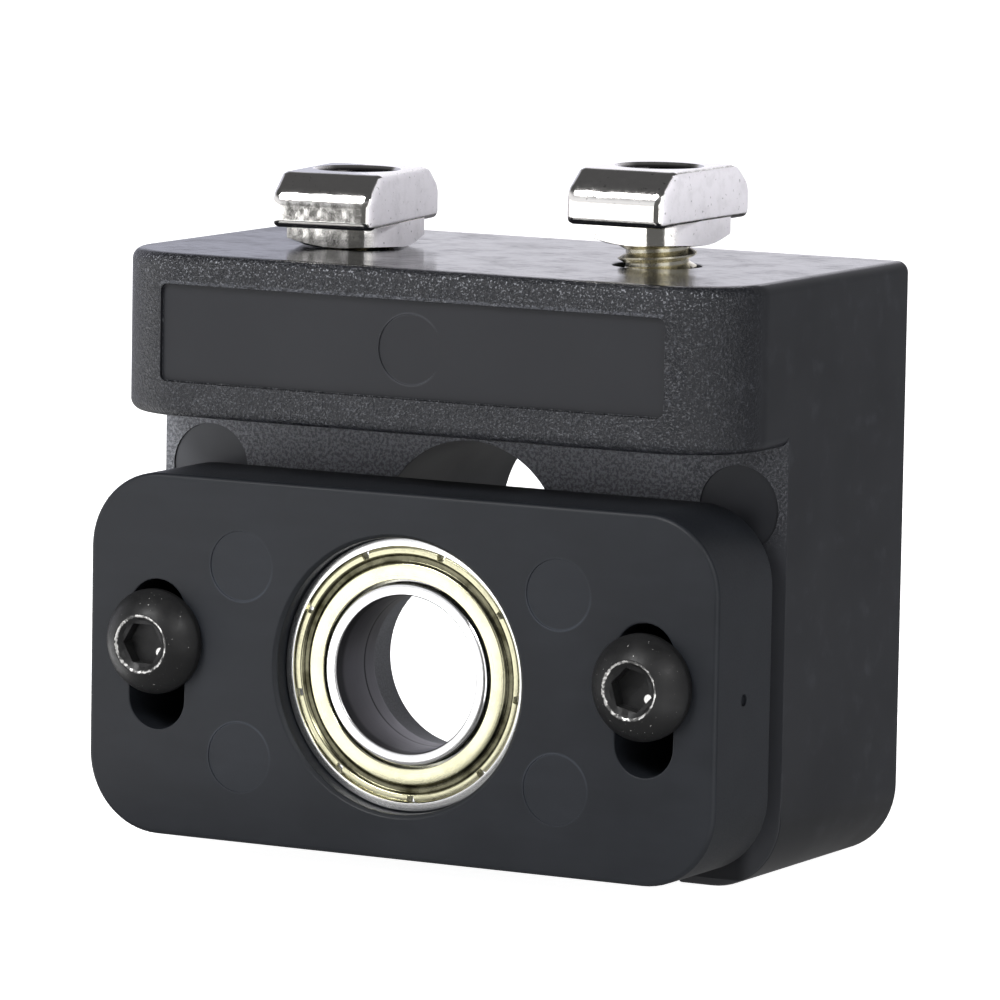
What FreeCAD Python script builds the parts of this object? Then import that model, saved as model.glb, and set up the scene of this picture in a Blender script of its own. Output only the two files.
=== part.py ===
import FreeCAD, Part
import math
import os
import Sketcher

# Lead screw support block: a moulded block bolted to an extrusion slot by two T-nuts.
# A bearing plate slides up and down on its face and is clamped by two button-head screws.
# Frame: X across the block, -Y towards the bearing plate, +Z up towards the T-nuts.
# The origin is on the block's underside, midway along the overall depth. Sizes are in mm.

SIZES = (
    # Moulded block
    ("block_width", 36.0, "across the block and its head"),
    ("block_height", 30.8, "underside to mounting face"),
    ("wall_depth", 13.5, "front of the wall to the rear face"),
    ("overhang", 6.85, "reach of the head in front of the wall"),
    ("head_height", 8.35, "head underside to mounting face"),
    ("head_corner", 4.5, "front corners of the head, in plan"),
    ("foot_corner", 3.8, "lower corners of the wall"),
    ("soft_edge", 0.6, "rounding of the head's front edges"),
    ("window_width", 24.8, "clear width of the window through the wall"),
    ("window_corner", 1.5, "corners of the window"),
    ("floor_height", 3.0, "underside to the window's sill"),
    ("roof_height", 15.0, "window's lintel to mounting face"),
    ("arch_radius", 5.27, "round clearance for the lead screw above the window"),
    ("arch_height", 16.25, "underside to the arch's centre"),
    ("label_width", 28.8, "bare label panel on the head"),
    ("label_height", 5.0, "bare label panel on the head"),
    ("label_drop", 4.05, "mounting face to the panel's middle"),
    ("label_depth", 0.3, "depth of the panel"),
    ("label_corner", 0.4, "corners of the panel"),
    ("wall_mark_spacing", 30.6, "between the smooth ejector discs on the wall"),
    ("wall_mark_height", 19.2, "underside to the ejector discs"),
    ("wall_mark_width", 4.4, "diameter of the ejector discs"),
    ("wall_mark_depth", 0.1, "depth of the ejector discs"),
    ("pin_mark_width", 3.6, "ejector pin marks on the panel and the plate"),
    ("pin_mark_depth", 0.06, "depth of the ejector pin marks"),
    # Bearing plate
    ("plate_inset", 0.0, "block side to plate side"),
    ("plate_height", 18.6, "height of the plate"),
    ("plate_thickness", 6.0, "front face to back face"),
    ("plate_corner", 4.0, "corners of the plate"),
    ("plate_edge", 0.25, "rounding of the plate's front edge"),
    ("plate_drop", 0.7, "plate middle below the clamp screws as photographed"),
    ("plate_gap", 0.05, "sliding gap between the plate's pads and the wall"),
    ("pad_height", 1.35, "pads and bearing boss behind the plate"),
    ("pad_width", 5.6, "clamp pads behind the slots"),
    ("pad_length", 12.0, "clamp pads behind the slots"),
    ("pad_corner", 1.5, "corners of the clamp pads"),
    ("boss_width", 14.4, "diameter of the bearing boss behind the plate"),
    ("bearing_recess", 0.95, "plate front to bearing face"),
    ("seat_clearance", 0.01, "radial room round the bearing"),
    ("seat_chamfer", 0.2, "chamfer at the mouth of the bearing seat"),
    ("lip_bore", 8.8, "hole in the lip behind the bearing"),
    ("lip_relief_width", 10.8, "relief that keeps the lip off the inner ring"),
    ("lip_relief_depth", 0.3, "relief that keeps the lip off the inner ring"),
    ("slot_width", 3.2, "clamp slots"),
    ("slot_travel", 4.5, "between the end centres of a clamp slot"),
    ("plate_mark_across", 18.2, "between ejector pin marks, across"),
    ("plate_mark_up", 9.8, "between ejector pin marks, up"),
    ("gate_width", 0.6, "moulding gate spot on the plate's side"),
    ("gate_depth", 0.15, "moulding gate spot on the plate's side"),
    # Deep-groove ball bearing with two shields
    ("bearing_bore", 8.0, "bearing bore"),
    ("bearing_outside", 14.0, "bearing outside diameter"),
    ("bearing_width", 4.0, "bearing width"),
    ("ring_chamfer", 0.18, "chamfers of both rings"),
    ("ball_offset", 0.0, "ball circle beyond midway between bore and outside"),
    ("ball_width", 1.588, "ball diameter"),
    ("ball_count", 9, "balls in the bearing"),
    ("groove_clearance", 0.03, "radial room between balls and raceways"),
    ("shoulder_room", 1.1, "ball circle to the rings' shoulders, in diameter"),
    ("step_wall", 0.63, "inner ring's wall under the shields"),
    ("step_depth", 0.5, "axial depth of the step under the shields"),
    ("seat_wall", 0.47, "outer ring's wall round the shields"),
    ("seat_depth", 0.45, "axial depth of the shield seats"),
    ("shield_fit", 0.02, "radial room round a shield's rim"),
    ("shield_room", 0.19, "radial room between a shield and the inner ring"),
    ("shield_sheet", 0.16, "shield sheet thickness"),
    ("shield_set", 0.1, "bearing face to the shield's rim"),
    ("shield_dish", 0.16, "depth of the dished band below the rim"),
    ("flat_inset", 0.88, "shield seat to a shield's flat ring"),
    ("rim_inset", 0.38, "shield seat to the inside of a shield's rim"),
    ("notch_count", 9, "notches in a shield's rim"),
    ("notch_width", 0.3, "width of a notch"),
    ("notch_turn", 33.0, "degrees from +X to the first notch"),
    ("cage_sheet", 0.7, "radial thickness of the ball cage"),
    ("cage_start", 0.75, "bearing face to the cage's closed edge"),
    ("cage_end", 2.4, "bearing face to the cage's finger tips"),
    ("cage_clearance", 0.08, "room round a ball in the cage"),
    # Clamp screws and their captive nuts
    ("clamp_spacing", 28.0, "between the clamp screws"),
    ("clamp_height", 11.0, "underside to the clamp screws"),
    ("clamp_thread", 3.0, "clamp screw thread"),
    ("clamp_length", 20.0, "clamp screw length under its head"),
    ("clamp_gap", 0.05, "sliding gap under the clamp screw heads"),
    ("clamp_hole", 3.1, "clamp screw holes in the block"),
    ("clamp_boss", 7.2, "bosses round the clamp screws"),
    ("clamp_boss_length", 9.6, "wall front to the end of a boss"),
    ("button_width", 5.4, "button head diameter"),
    ("button_height", 1.65, "button head height"),
    ("button_rim", 0.4, "straight rim under the dome"),
    ("button_top", 3.1, "flat top of the dome"),
    ("button_mouth", 2.8, "countersunk mouth of the socket"),
    ("button_mouth_depth", 0.25, "countersunk mouth of the socket"),
    ("button_socket", 2.0, "socket across flats"),
    ("button_socket_depth", 1.05, "socket depth"),
    ("clamp_nut_flats", 5.5, "captive nut across flats"),
    ("clamp_nut_height", 2.4, "captive nut height"),
    ("nut_pocket_room", 0.1, "room across flats in the nut pockets"),
    ("nut_pocket_sink", 0.2, "boss end to captive nut"),
    ("thread_room", 0.03, "radial room between a thread and its nut"),
    ("nut_bevel", 0.35, "corner bevel of the captive nuts"),
    # Profile screws and T-nuts
    ("profile_spacing", 17.5, "between the profile screws"),
    ("profile_setback", 10.2, "rear face to the profile screws"),
    ("profile_thread", 4.0, "profile screw thread"),
    ("profile_length", 18.0, "profile screw length under its head"),
    ("profile_hole", 4.5, "profile screw holes"),
    ("cap_room", 0.1, "radial room round a cap head in its well"),
    ("cap_width", 7.0, "cap head diameter"),
    ("cap_height", 2.8, "low cap head height"),
    ("cap_edge", 0.4, "chamfer of a cap head"),
    ("cap_socket", 2.5, "socket across flats"),
    ("cap_socket_depth", 1.6, "socket depth"),
    ("tip_bevel", 0.4, "bevel at a screw's tip"),
    ("nut_length", 10.2, "T-nut across the slot"),
    ("nut_width", 5.6, "T-nut along the slot"),
    ("nut_height", 3.9, "T-nut overall height"),
    ("nut_boss_height", 1.12, "lower boss that enters the slot's neck"),
    ("nut_boss_width", 5.5, "lower boss across flats"),
    ("nut_boss_corner", 2.2, "rounded diagonal corners of the lower boss"),
    ("nut_boss_bevel", 0.5, "turned bevel under the lower boss"),
    ("nut_slope_run", 1.4, "sloped ends of a T-nut, along its length"),
    ("nut_slope_rise", 1.05, "sloped ends of a T-nut, in height"),
    ("nut_edge", 0.45, "tumbled edges of a T-nut"),
    ("nut_mouth", 0.25, "countersink of a T-nut's thread"),
    ("left_nut_lift", 0.06, "mounting face to the left T-nut"),
    ("right_nut_lift", 1.15, "mounting face to the right T-nut"),
    ("left_nut_turn", 8.8, "degrees the left T-nut is turned"),
    ("right_nut_turn", 1.0, "degrees the right T-nut is turned"),
)

doc = FreeCAD.newDocument("lead_screw_support_block")
sheet = doc.addObject("Spreadsheet::Sheet", "Sizes")
for row, (alias, size, note) in enumerate(SIZES, start=1):
    sheet.set(f"A{row}", alias)
    sheet.set(f"B{row}", str(size))
    sheet.set(f"C{row}", note)
    sheet.setAlias(f"B{row}", alias)
doc.recompute()

# Places along the depth, measured from the middle of the overall depth
OVERALL_DEPTH = (
    "(Sizes.button_height + Sizes.clamp_gap + Sizes.plate_thickness"
    " + Sizes.pad_height + Sizes.plate_gap + Sizes.wall_depth)"
)
REAR = f"({OVERALL_DEPTH} / 2)"
WALL_FRONT = f"({REAR} - Sizes.wall_depth)"
PLATE_FRONT = f"({WALL_FRONT} - Sizes.plate_gap - Sizes.pad_height - Sizes.plate_thickness)"
BEARING_FACE = f"({PLATE_FRONT} + Sizes.bearing_recess)"
BEARING_HEIGHT = "(Sizes.clamp_height - Sizes.plate_drop)"
HEAD_DEPTH = "(Sizes.wall_depth + Sizes.overhang)"
WINDOW_TOP = "(Sizes.block_height - Sizes.roof_height)"
PLATE_WIDTH = "(Sizes.block_width - 2 * Sizes.plate_inset)"
# Radii inside the bearing, from its bore and its outside
BALL_RADIUS = "((Sizes.bearing_bore + Sizes.bearing_outside) / 4 + Sizes.ball_offset)"
SHIELD_SEAT = "(Sizes.bearing_outside / 2 - Sizes.seat_wall)"
INNER_STEP = "(Sizes.bearing_bore / 2 + Sizes.step_wall)"
Z_AXIS = FreeCAD.Vector(0, 0, 1)
SIDES = (("left", -1), ("right", 1))


def value(expression):
    """Number that an expression on the sheet gives now, for a sketch's first guess."""
    return float(sheet.evalExpression(expression))


# Sketch helpers


def new_body(label):
    body = doc.addObject("PartDesign::Body", label)
    body.Label = label
    return body


def new_sketch(body, plane, name, offset="0"):
    """Sketch on an origin plane of its body, moved along the plane's normal."""
    sketch = body.newObject("Sketcher::SketchObject", f"{body.Label}_{name}")
    support = next(f for f in body.Origin.OriginFeatures if f.Role == plane)
    sketch.AttachmentSupport = [(support, "")]
    sketch.MapMode = "FlatFace"
    sketch.setExpression("AttachmentOffset.Base.z", offset)
    return sketch


def bind(sketch, constraint, expression):
    index = sketch.addConstraint(constraint)
    sketch.setExpression(f"Constraints[{index}]", expression)


def pin(sketch, geometry, end, x=None, y=None):
    """Tie one point of a sketch element to the sketch's origin."""
    if x is not None:
        bind(sketch, Sketcher.Constraint("DistanceX", -1, 1, geometry, end, value(x)), x)
    if y is not None:
        bind(sketch, Sketcher.Constraint("DistanceY", -1, 1, geometry, end, value(y)), y)


def draw_circle(sketch, x, y, diameter):
    radius = f"({diameter}) / 2"
    centre = FreeCAD.Vector(value(x), value(y), 0)
    circle = sketch.addGeometry(Part.Circle(centre, Z_AXIS, value(radius)), False)
    pin(sketch, circle, 3, x, y)
    bind(sketch, Sketcher.Constraint("Radius", circle, value(radius)), radius)


def draw_outline(sketch, corners, dome=None):
    """Closed outline through corners. The segment numbered dome is an arc centred on the upright axis."""
    points = [FreeCAD.Vector(value(x), value(y), 0) for x, y in corners]
    segments = []
    for number, start in enumerate(points):
        end = points[(number + 1) % len(points)]
        segment = Part.LineSegment(start, end)
        if number == dome:
            rise = (start.Length ** 2 - end.Length ** 2) / (2 * (start.y - end.y))
            centre = FreeCAD.Vector(0, rise, 0)
            radius = (start - centre).Length
            first = math.atan2(start.y - rise, start.x)
            last = math.atan2(end.y - rise, end.x)
            segment = Part.ArcOfCircle(Part.Circle(centre, Z_AXIS, radius), first, last)
        segments.append(sketch.addGeometry(segment, False))
    for number, (x, y) in enumerate(corners):
        sketch.addConstraint(Sketcher.Constraint("Coincident", segments[number - 1], 2, segments[number], 1))
        pin(sketch, segments[number], 1, x, y)
    if dome is not None:
        sketch.addConstraint(Sketcher.Constraint("PointOnObject", segments[dome], 3, -2))


def draw_box(sketch, left, right, low, high, radii=(None,) * 4):
    """Upright rectangle. Radii run from the lower left corner round to the upper left."""
    xs = (value(left), value(right), value(right), value(left))
    ys = (value(low), value(low), value(high), value(high))
    corners = [FreeCAD.Vector(x, y, 0) for x, y in zip(xs, ys)]
    ways = [FreeCAD.Vector(1, 0, 0), FreeCAD.Vector(0, 1, 0), FreeCAD.Vector(-1, 0, 0), FreeCAD.Vector(0, -1, 0)]
    cuts = [value(radius) if radius else 0.0 for radius in radii]
    lines = []
    for side, way in enumerate(ways):
        after = (side + 1) % 4
        segment = Part.LineSegment(corners[side] + way * cuts[side], corners[after] - way * cuts[after])
        lines.append(sketch.addGeometry(segment, False))
    for corner, radius in enumerate(radii):
        before = lines[corner - 1]
        after = lines[corner]
        if radius is None:
            sketch.addConstraint(Sketcher.Constraint("Coincident", before, 2, after, 1))
            continue
        centre = corners[corner] + (ways[corner] - ways[corner - 1]) * cuts[corner]
        start = math.pi + corner * math.pi / 2
        curve = Part.ArcOfCircle(Part.Circle(centre, Z_AXIS, cuts[corner]), start, start + math.pi / 2)
        arc = sketch.addGeometry(curve, False)
        sketch.addConstraint(Sketcher.Constraint("Tangent", before, 2, arc, 1))
        sketch.addConstraint(Sketcher.Constraint("Tangent", arc, 2, after, 1))
        bind(sketch, Sketcher.Constraint("Radius", arc, cuts[corner]), radius)
    for side, direction in enumerate(("Horizontal", "Vertical", "Horizontal", "Vertical")):
        sketch.addConstraint(Sketcher.Constraint(direction, lines[side]))
    pin(sketch, lines[0], 1, y=low)
    pin(sketch, lines[1], 1, x=right)
    pin(sketch, lines[2], 1, y=high)
    pin(sketch, lines[3], 1, x=left)


def draw_slot(sketch, x, low, high, width):
    """Upright round-ended slot between two end centres."""
    radius = f"({width}) / 2"
    reach = value(radius)
    top = FreeCAD.Vector(value(x), value(high), 0)
    foot = FreeCAD.Vector(value(x), value(low), 0)
    aside = FreeCAD.Vector(reach, 0, 0)
    upper = sketch.addGeometry(Part.ArcOfCircle(Part.Circle(top, Z_AXIS, reach), 0, math.pi), False)
    left = sketch.addGeometry(Part.LineSegment(top - aside, foot - aside), False)
    lower_curve = Part.ArcOfCircle(Part.Circle(foot, Z_AXIS, reach), math.pi, 2 * math.pi)
    lower = sketch.addGeometry(lower_curve, False)
    right = sketch.addGeometry(Part.LineSegment(foot + aside, top + aside), False)
    ring = (upper, left, lower, right)
    for number, element in enumerate(ring):
        sketch.addConstraint(Sketcher.Constraint("Tangent", ring[number - 1], 2, element, 1))
    sketch.addConstraint(Sketcher.Constraint("Equal", upper, lower))
    pin(sketch, upper, 3, x, high)
    pin(sketch, lower, 3, x, low)
    bind(sketch, Sketcher.Constraint("Radius", upper, reach), radius)


def draw_hexagon(sketch, x, y, flats):
    """Hexagon with two upright flats."""
    half = f"({flats}) / 2"
    tall = f"({flats}) / sqrt(3)"
    corners = [
        (f"{x} + {half}", f"{y} - {tall} / 2"),
        (f"{x} + {half}", f"{y} + {tall} / 2"),
        (x, f"{y} + {tall}"),
        (f"{x} - {half}", f"{y} + {tall} / 2"),
        (f"{x} - {half}", f"{y} - {tall} / 2"),
        (x, f"{y} - {tall}"),
    ]
    draw_outline(sketch, corners)


# Feature helpers


def pad(sketch, length, reverse=False):
    body = sketch.getParentGeoFeatureGroup()
    feature = body.newObject("PartDesign::Pad", f"{sketch.Name}_pad")
    feature.Profile = sketch
    feature.setExpression("Length", length)
    feature.Reversed = reverse
    doc.recompute()
    return feature


def pocket(sketch, depth=None, reverse=False):
    """Cut a sketch into its body, all the way through where no depth is given."""
    body = sketch.getParentGeoFeatureGroup()
    before = body.Shape.Volume
    feature = body.newObject("PartDesign::Pocket", f"{sketch.Name}_pocket")
    feature.Profile = sketch
    feature.Reversed = reverse
    if depth is None:
        feature.Type = "ThroughAll"
    else:
        feature.setExpression("Length", depth)
    doc.recompute()
    if not body.Shape.Volume < before:
        raise RuntimeError(f"{feature.Name} cuts nothing")
    return feature


def turn(sketch, kind="PartDesign::Revolution"):
    """Revolve a sketch, or groove with it, about its upright axis."""
    body = sketch.getParentGeoFeatureGroup()
    feature = body.newObject(kind, f"{sketch.Name}_turn")
    feature.Profile = sketch
    feature.ReferenceAxis = (sketch, ["V_Axis"])
    feature.Angle = 360
    doc.recompute()
    return feature


def repeat_round(feature, axis, count):
    """Repeat a feature round one of its body's axes."""
    body = feature.getParentGeoFeatureGroup()
    pattern = body.newObject("PartDesign::PolarPattern", f"{feature.Name}_ring")
    pattern.Originals = [feature]
    pattern.Axis = (next(f for f in body.Origin.OriginFeatures if f.Role == axis), [""])
    pattern.Angle = 360
    pattern.setExpression("Occurrences", count)
    body.Tip = pattern
    doc.recompute()
    return pattern


def soften(body, kind, size_name, size, chosen):
    """Round or bevel every edge of the body that a test picks."""
    base = body.Tip
    names = [f"Edge{number}" for number, edge in enumerate(base.Shape.Edges, start=1) if chosen(edge)]
    feature = body.newObject(kind, f"{body.Label}_{size_name}")
    feature.Base = (base, names)
    feature.setExpression("Radius" if kind.endswith("Fillet") else "Size", size)
    doc.recompute()
    return feature


def place(body, x="0", y="0", z="0"):
    body.setExpression("Placement.Base.x", x)
    body.setExpression("Placement.Base.y", y)
    body.setExpression("Placement.Base.z", z)


def near(first, second):
    return abs(first - second) < 1e-4


# Moulded block: its own frame has the rear face at Y 0


def make_block():
    body = new_body("main_block")
    half = "Sizes.block_width / 2"
    wall = new_sketch(body, "XZ_Plane", "wall")
    foot = "Sizes.foot_corner"
    draw_box(wall, f"-{half}", half, "0", "Sizes.block_height", (foot, foot, None, None))
    pad(wall, "Sizes.wall_depth")
    head = new_sketch(body, "XY_Plane", "head", "Sizes.block_height - Sizes.head_height")
    corner = "Sizes.head_corner"
    draw_box(head, f"-{half}", half, f"-{HEAD_DEPTH}", "0", (corner, corner, None, None))
    pad(head, "Sizes.head_height")
    soften_head(body)
    cut_window(body)
    add_clamp_bosses(body)
    cut_profile_holes(body)
    cut_face_marks(body)
    place(body, y=REAR)
    return body


def soften_head(body):
    """Round the head's front edges, above and below, back to the wall's front."""
    top = value("Sizes.block_height")
    underside = value("Sizes.block_height - Sizes.head_height")
    wall_front = -value("Sizes.wall_depth")

    def at_front(edge):
        box = edge.BoundBox
        level = near(box.ZMin, box.ZMax)
        above = near(box.ZMin, top) and box.YMin < wall_front
        below = near(box.ZMin, underside) and box.YMin < wall_front - 1e-4
        return level and (above or below)

    soften(body, "PartDesign::Fillet", "soft_edge", "Sizes.soft_edge", at_front)


def cut_window(body):
    """Window through the wall, with a round arch above it for the lead screw."""
    half = "Sizes.window_width / 2"
    window = new_sketch(body, "XZ_Plane", "window")
    draw_box(window, f"-{half}", half, "Sizes.floor_height", WINDOW_TOP, ("Sizes.window_corner",) * 4)
    pocket(window, "Sizes.wall_depth", reverse=True)
    arch = new_sketch(body, "XZ_Plane", "arch")
    draw_circle(arch, "0", "Sizes.arch_height", "2 * Sizes.arch_radius")
    pocket(arch, "Sizes.wall_depth", reverse=True)


def add_clamp_bosses(body):
    """Bosses beside the window that carry the clamp screws and their captive nuts."""
    front = "Sizes.wall_depth"
    boss_end = "Sizes.wall_depth - Sizes.clamp_boss_length"
    places = [f"{side} * Sizes.clamp_spacing / 2" for name, side in SIDES]
    for (name, side), x in zip(SIDES, places):
        boss = new_sketch(body, "XZ_Plane", f"boss_{name}", front)
        draw_circle(boss, x, "Sizes.clamp_height", "Sizes.clamp_boss")
        pad(boss, "Sizes.clamp_boss_length", reverse=True)
    holes = new_sketch(body, "XZ_Plane", "clamp_holes", front)
    nuts = new_sketch(body, "XZ_Plane", "nut_pockets", boss_end)
    for x in places:
        draw_circle(holes, x, "Sizes.clamp_height", "Sizes.clamp_hole")
        draw_hexagon(nuts, x, "Sizes.clamp_height", "Sizes.clamp_nut_flats + Sizes.nut_pocket_room")
    pocket(holes)
    pocket(nuts, "Sizes.clamp_nut_height + Sizes.nut_pocket_sink", reverse=True)
    backs = new_sketch(body, "XZ_Plane", "nut_ways")
    for x in places:
        draw_hexagon(backs, x, "Sizes.clamp_height", "Sizes.clamp_nut_flats + Sizes.nut_pocket_room")
    pocket(backs, boss_end, reverse=True)


def cut_profile_holes(body):
    """Screw holes through the roof, and wells up through the floor for the heads and the key."""
    room = "Sizes.cap_width + 2 * Sizes.cap_room"
    roof = new_sketch(body, "XY_Plane", "profile_holes", "Sizes.block_height")
    wells = new_sketch(body, "XY_Plane", "head_wells")
    notches = new_sketch(body, "XY_Plane", "driver_notches")
    for name, side in SIDES:
        x = f"{side} * Sizes.profile_spacing / 2"
        draw_circle(roof, x, "-Sizes.profile_setback", "Sizes.profile_hole")
        draw_circle(wells, x, "-Sizes.profile_setback", room)
        draw_slot(notches, x, "-(Sizes.wall_depth + Sizes.cap_width)", "-Sizes.profile_setback", room)
    pocket(roof, "Sizes.roof_height")
    pocket(wells, WINDOW_TOP, reverse=True)
    pocket(notches, "Sizes.floor_height", reverse=True)


def cut_face_marks(body):
    """Bare label panel with its pin mark, and the smooth discs on the wall."""
    half = "Sizes.label_width / 2"
    middle = "(Sizes.block_height - Sizes.label_drop)"
    low = f"{middle} - Sizes.label_height / 2"
    high = f"{middle} + Sizes.label_height / 2"
    panel = new_sketch(body, "XZ_Plane", "label", HEAD_DEPTH)
    draw_box(panel, f"-{half}", half, low, high, ("Sizes.label_corner",) * 4)
    pocket(panel, "Sizes.label_depth")
    mark = new_sketch(body, "XZ_Plane", "label_mark", HEAD_DEPTH)
    draw_circle(mark, "0", middle, "Sizes.pin_mark_width")
    pocket(mark, "Sizes.label_depth + Sizes.pin_mark_depth")
    discs = new_sketch(body, "XZ_Plane", "wall_marks", "Sizes.wall_depth")
    for name, side in SIDES:
        x = f"{side} * Sizes.wall_mark_spacing / 2"
        draw_circle(discs, x, "Sizes.wall_mark_height", "Sizes.wall_mark_width")
    pocket(discs, "Sizes.wall_mark_depth")


# Bearing plate: its own frame has the bearing axis along Y and the front face at Y 0


def make_plate():
    body = new_body("bearing_plate")
    half = f"{PLATE_WIDTH} / 2"
    tall = "Sizes.plate_height / 2"
    face = new_sketch(body, "XZ_Plane", "face")
    draw_box(face, f"-{half}", half, f"-{tall}", tall, ("Sizes.plate_corner",) * 4)
    pad(face, "Sizes.plate_thickness", reverse=True)

    def on_front(edge):
        return near(edge.BoundBox.YMin, 0) and near(edge.BoundBox.YMax, 0)

    soften(body, "PartDesign::Fillet", "plate_edge", "Sizes.plate_edge", on_front)
    add_plate_pads(body)
    cut_bearing_seat(body)
    cut_plate_slots(body)
    place(body, y=PLATE_FRONT, z=BEARING_HEIGHT)
    return body


def add_plate_pads(body):
    """Round boss behind the bearing and a pad behind each slot, which slide on the wall."""
    back = "-Sizes.plate_thickness"
    boss = new_sketch(body, "XZ_Plane", "boss", back)
    draw_circle(boss, "0", "0", "Sizes.boss_width")
    pad(boss, "Sizes.pad_height", reverse=True)
    for name, side in SIDES:
        rest = new_sketch(body, "XZ_Plane", f"pad_{name}", back)
        x = f"{side} * Sizes.clamp_spacing / 2"
        left = f"{x} - Sizes.pad_width / 2"
        right = f"{x} + Sizes.pad_width / 2"
        tall = "Sizes.pad_length / 2"
        draw_box(rest, left, right, f"-{tall}", tall, ("Sizes.pad_corner",) * 4)
        pad(rest, "Sizes.pad_height", reverse=True)


def cut_bearing_seat(body):
    """Seat for the bearing, a relief behind its inner ring and the lip's hole."""
    depth = "Sizes.bearing_recess + Sizes.bearing_width"
    seat = new_sketch(body, "XZ_Plane", "seat")
    draw_circle(seat, "0", "0", "Sizes.bearing_outside + 2 * Sizes.seat_clearance")
    pocket(seat, depth)
    seat_radius = value("Sizes.bearing_outside / 2 + Sizes.seat_clearance")

    def seat_mouth(edge):
        box = edge.BoundBox
        return near(box.YMax, 0) and near(box.XMax, seat_radius) and near(box.ZMax, seat_radius)

    soften(body, "PartDesign::Chamfer", "seat_chamfer", "Sizes.seat_chamfer", seat_mouth)
    relief = new_sketch(body, "XZ_Plane", "relief")
    draw_circle(relief, "0", "0", "Sizes.lip_relief_width")
    pocket(relief, f"{depth} + Sizes.lip_relief_depth")
    lip = new_sketch(body, "XZ_Plane", "lip")
    draw_circle(lip, "0", "0", "Sizes.lip_bore")
    pocket(lip)


def cut_plate_slots(body):
    """Clamp slots, ejector pin marks and the moulding gate's spot."""
    slots = new_sketch(body, "XZ_Plane", "slots")
    marks = new_sketch(body, "XZ_Plane", "pin_marks")
    for name, side in SIDES:
        x = f"{side} * Sizes.clamp_spacing / 2"
        draw_slot(slots, x, "-Sizes.slot_travel / 2", "Sizes.slot_travel / 2", "Sizes.slot_width")
        for up in (-1, 1):
            across = f"{side} * Sizes.plate_mark_across / 2"
            draw_circle(marks, across, f"{up} * Sizes.plate_mark_up / 2", "Sizes.pin_mark_width")
    pocket(slots)
    pocket(marks, "Sizes.pin_mark_depth")
    gate = new_sketch(body, "YZ_Plane", "gate", f"{PLATE_WIDTH} / 2")
    draw_circle(gate, "Sizes.plate_thickness / 2", "0", "Sizes.gate_width")
    pocket(gate, "Sizes.gate_depth")


# Bearing: its own frame has the axis along Y and the front face at Y 0


def turned_ring(label, corners):
    """Bearing ring turned from a section in radius and depth, with its raceway grooved."""
    body = new_body(label)
    section = new_sketch(body, "XY_Plane", "section")
    draw_outline(section, corners)
    turn(section)
    race = new_sketch(body, "XY_Plane", "race")
    draw_circle(race, BALL_RADIUS, "Sizes.bearing_width / 2", "Sizes.ball_width + 2 * Sizes.groove_clearance")
    turn(race, "PartDesign::Groove")
    place(body, y=BEARING_FACE, z=BEARING_HEIGHT)
    return body


def make_outer_ring():
    outside = "Sizes.bearing_outside / 2"
    bevelled = f"{outside} - Sizes.ring_chamfer"
    seat = SHIELD_SEAT
    shoulder = f"{BALL_RADIUS} + Sizes.shoulder_room / 2"
    width = "Sizes.bearing_width"
    corners = [
        (seat, "0"),
        (bevelled, "0"),
        (outside, "Sizes.ring_chamfer"),
        (outside, f"{width} - Sizes.ring_chamfer"),
        (bevelled, width),
        (seat, width),
        (seat, f"{width} - Sizes.seat_depth"),
        (shoulder, f"{width} - Sizes.seat_depth"),
        (shoulder, "Sizes.seat_depth"),
        (seat, "Sizes.seat_depth"),
    ]
    return turned_ring("bearing_outer_ring", corners)


def make_inner_ring():
    bore = "Sizes.bearing_bore / 2"
    bevelled = f"{bore} + Sizes.ring_chamfer"
    step = INNER_STEP
    shoulder = f"{BALL_RADIUS} - Sizes.shoulder_room / 2"
    width = "Sizes.bearing_width"
    corners = [
        (bevelled, "0"),
        (step, "0"),
        (step, "Sizes.step_depth"),
        (shoulder, "Sizes.step_depth"),
        (shoulder, f"{width} - Sizes.step_depth"),
        (step, f"{width} - Sizes.step_depth"),
        (step, width),
        (bevelled, width),
        (bore, f"{width} - Sizes.ring_chamfer"),
        (bore, "Sizes.ring_chamfer"),
    ]
    return turned_ring("bearing_inner_ring", corners)


def make_cage():
    """Crown cage: a ring with round pockets that open towards the rear."""
    body = new_body("bearing_cage")
    inside = f"{BALL_RADIUS} - Sizes.cage_sheet / 2"
    outside = f"{BALL_RADIUS} + Sizes.cage_sheet / 2"
    section = new_sketch(body, "XY_Plane", "section")
    draw_box(section, inside, outside, "Sizes.cage_start", "Sizes.cage_end")
    turn(section)
    hole = new_sketch(body, "YZ_Plane", "hole")
    draw_circle(hole, "Sizes.bearing_width / 2", "0", "Sizes.ball_width + 2 * Sizes.cage_clearance")
    first = pocket(hole, "Sizes.bearing_outside / 2", reverse=True)
    repeat_round(first, "Y_Axis", "Sizes.ball_count")
    place(body, y=BEARING_FACE, z=BEARING_HEIGHT)
    return body


def make_balls():
    """Ring of balls, one group of separate solids."""
    balls = []
    for number in range(int(sheet.ball_count)):
        ball = doc.addObject("Part::Sphere", f"ball_{number + 1}")
        ball.setExpression("Radius", "Sizes.ball_width / 2")
        angle = f"{number} * 360 / Sizes.ball_count"
        place(
            ball,
            f"{BALL_RADIUS} * cos({angle})",
            f"{BEARING_FACE} + Sizes.bearing_width / 2",
            f"{BEARING_HEIGHT} + {BALL_RADIUS} * sin({angle})",
        )
        balls.append(ball)
    group = doc.addObject("Part::Compound", "bearing_balls")
    group.Label = "bearing_balls"
    group.Links = balls
    return group


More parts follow.
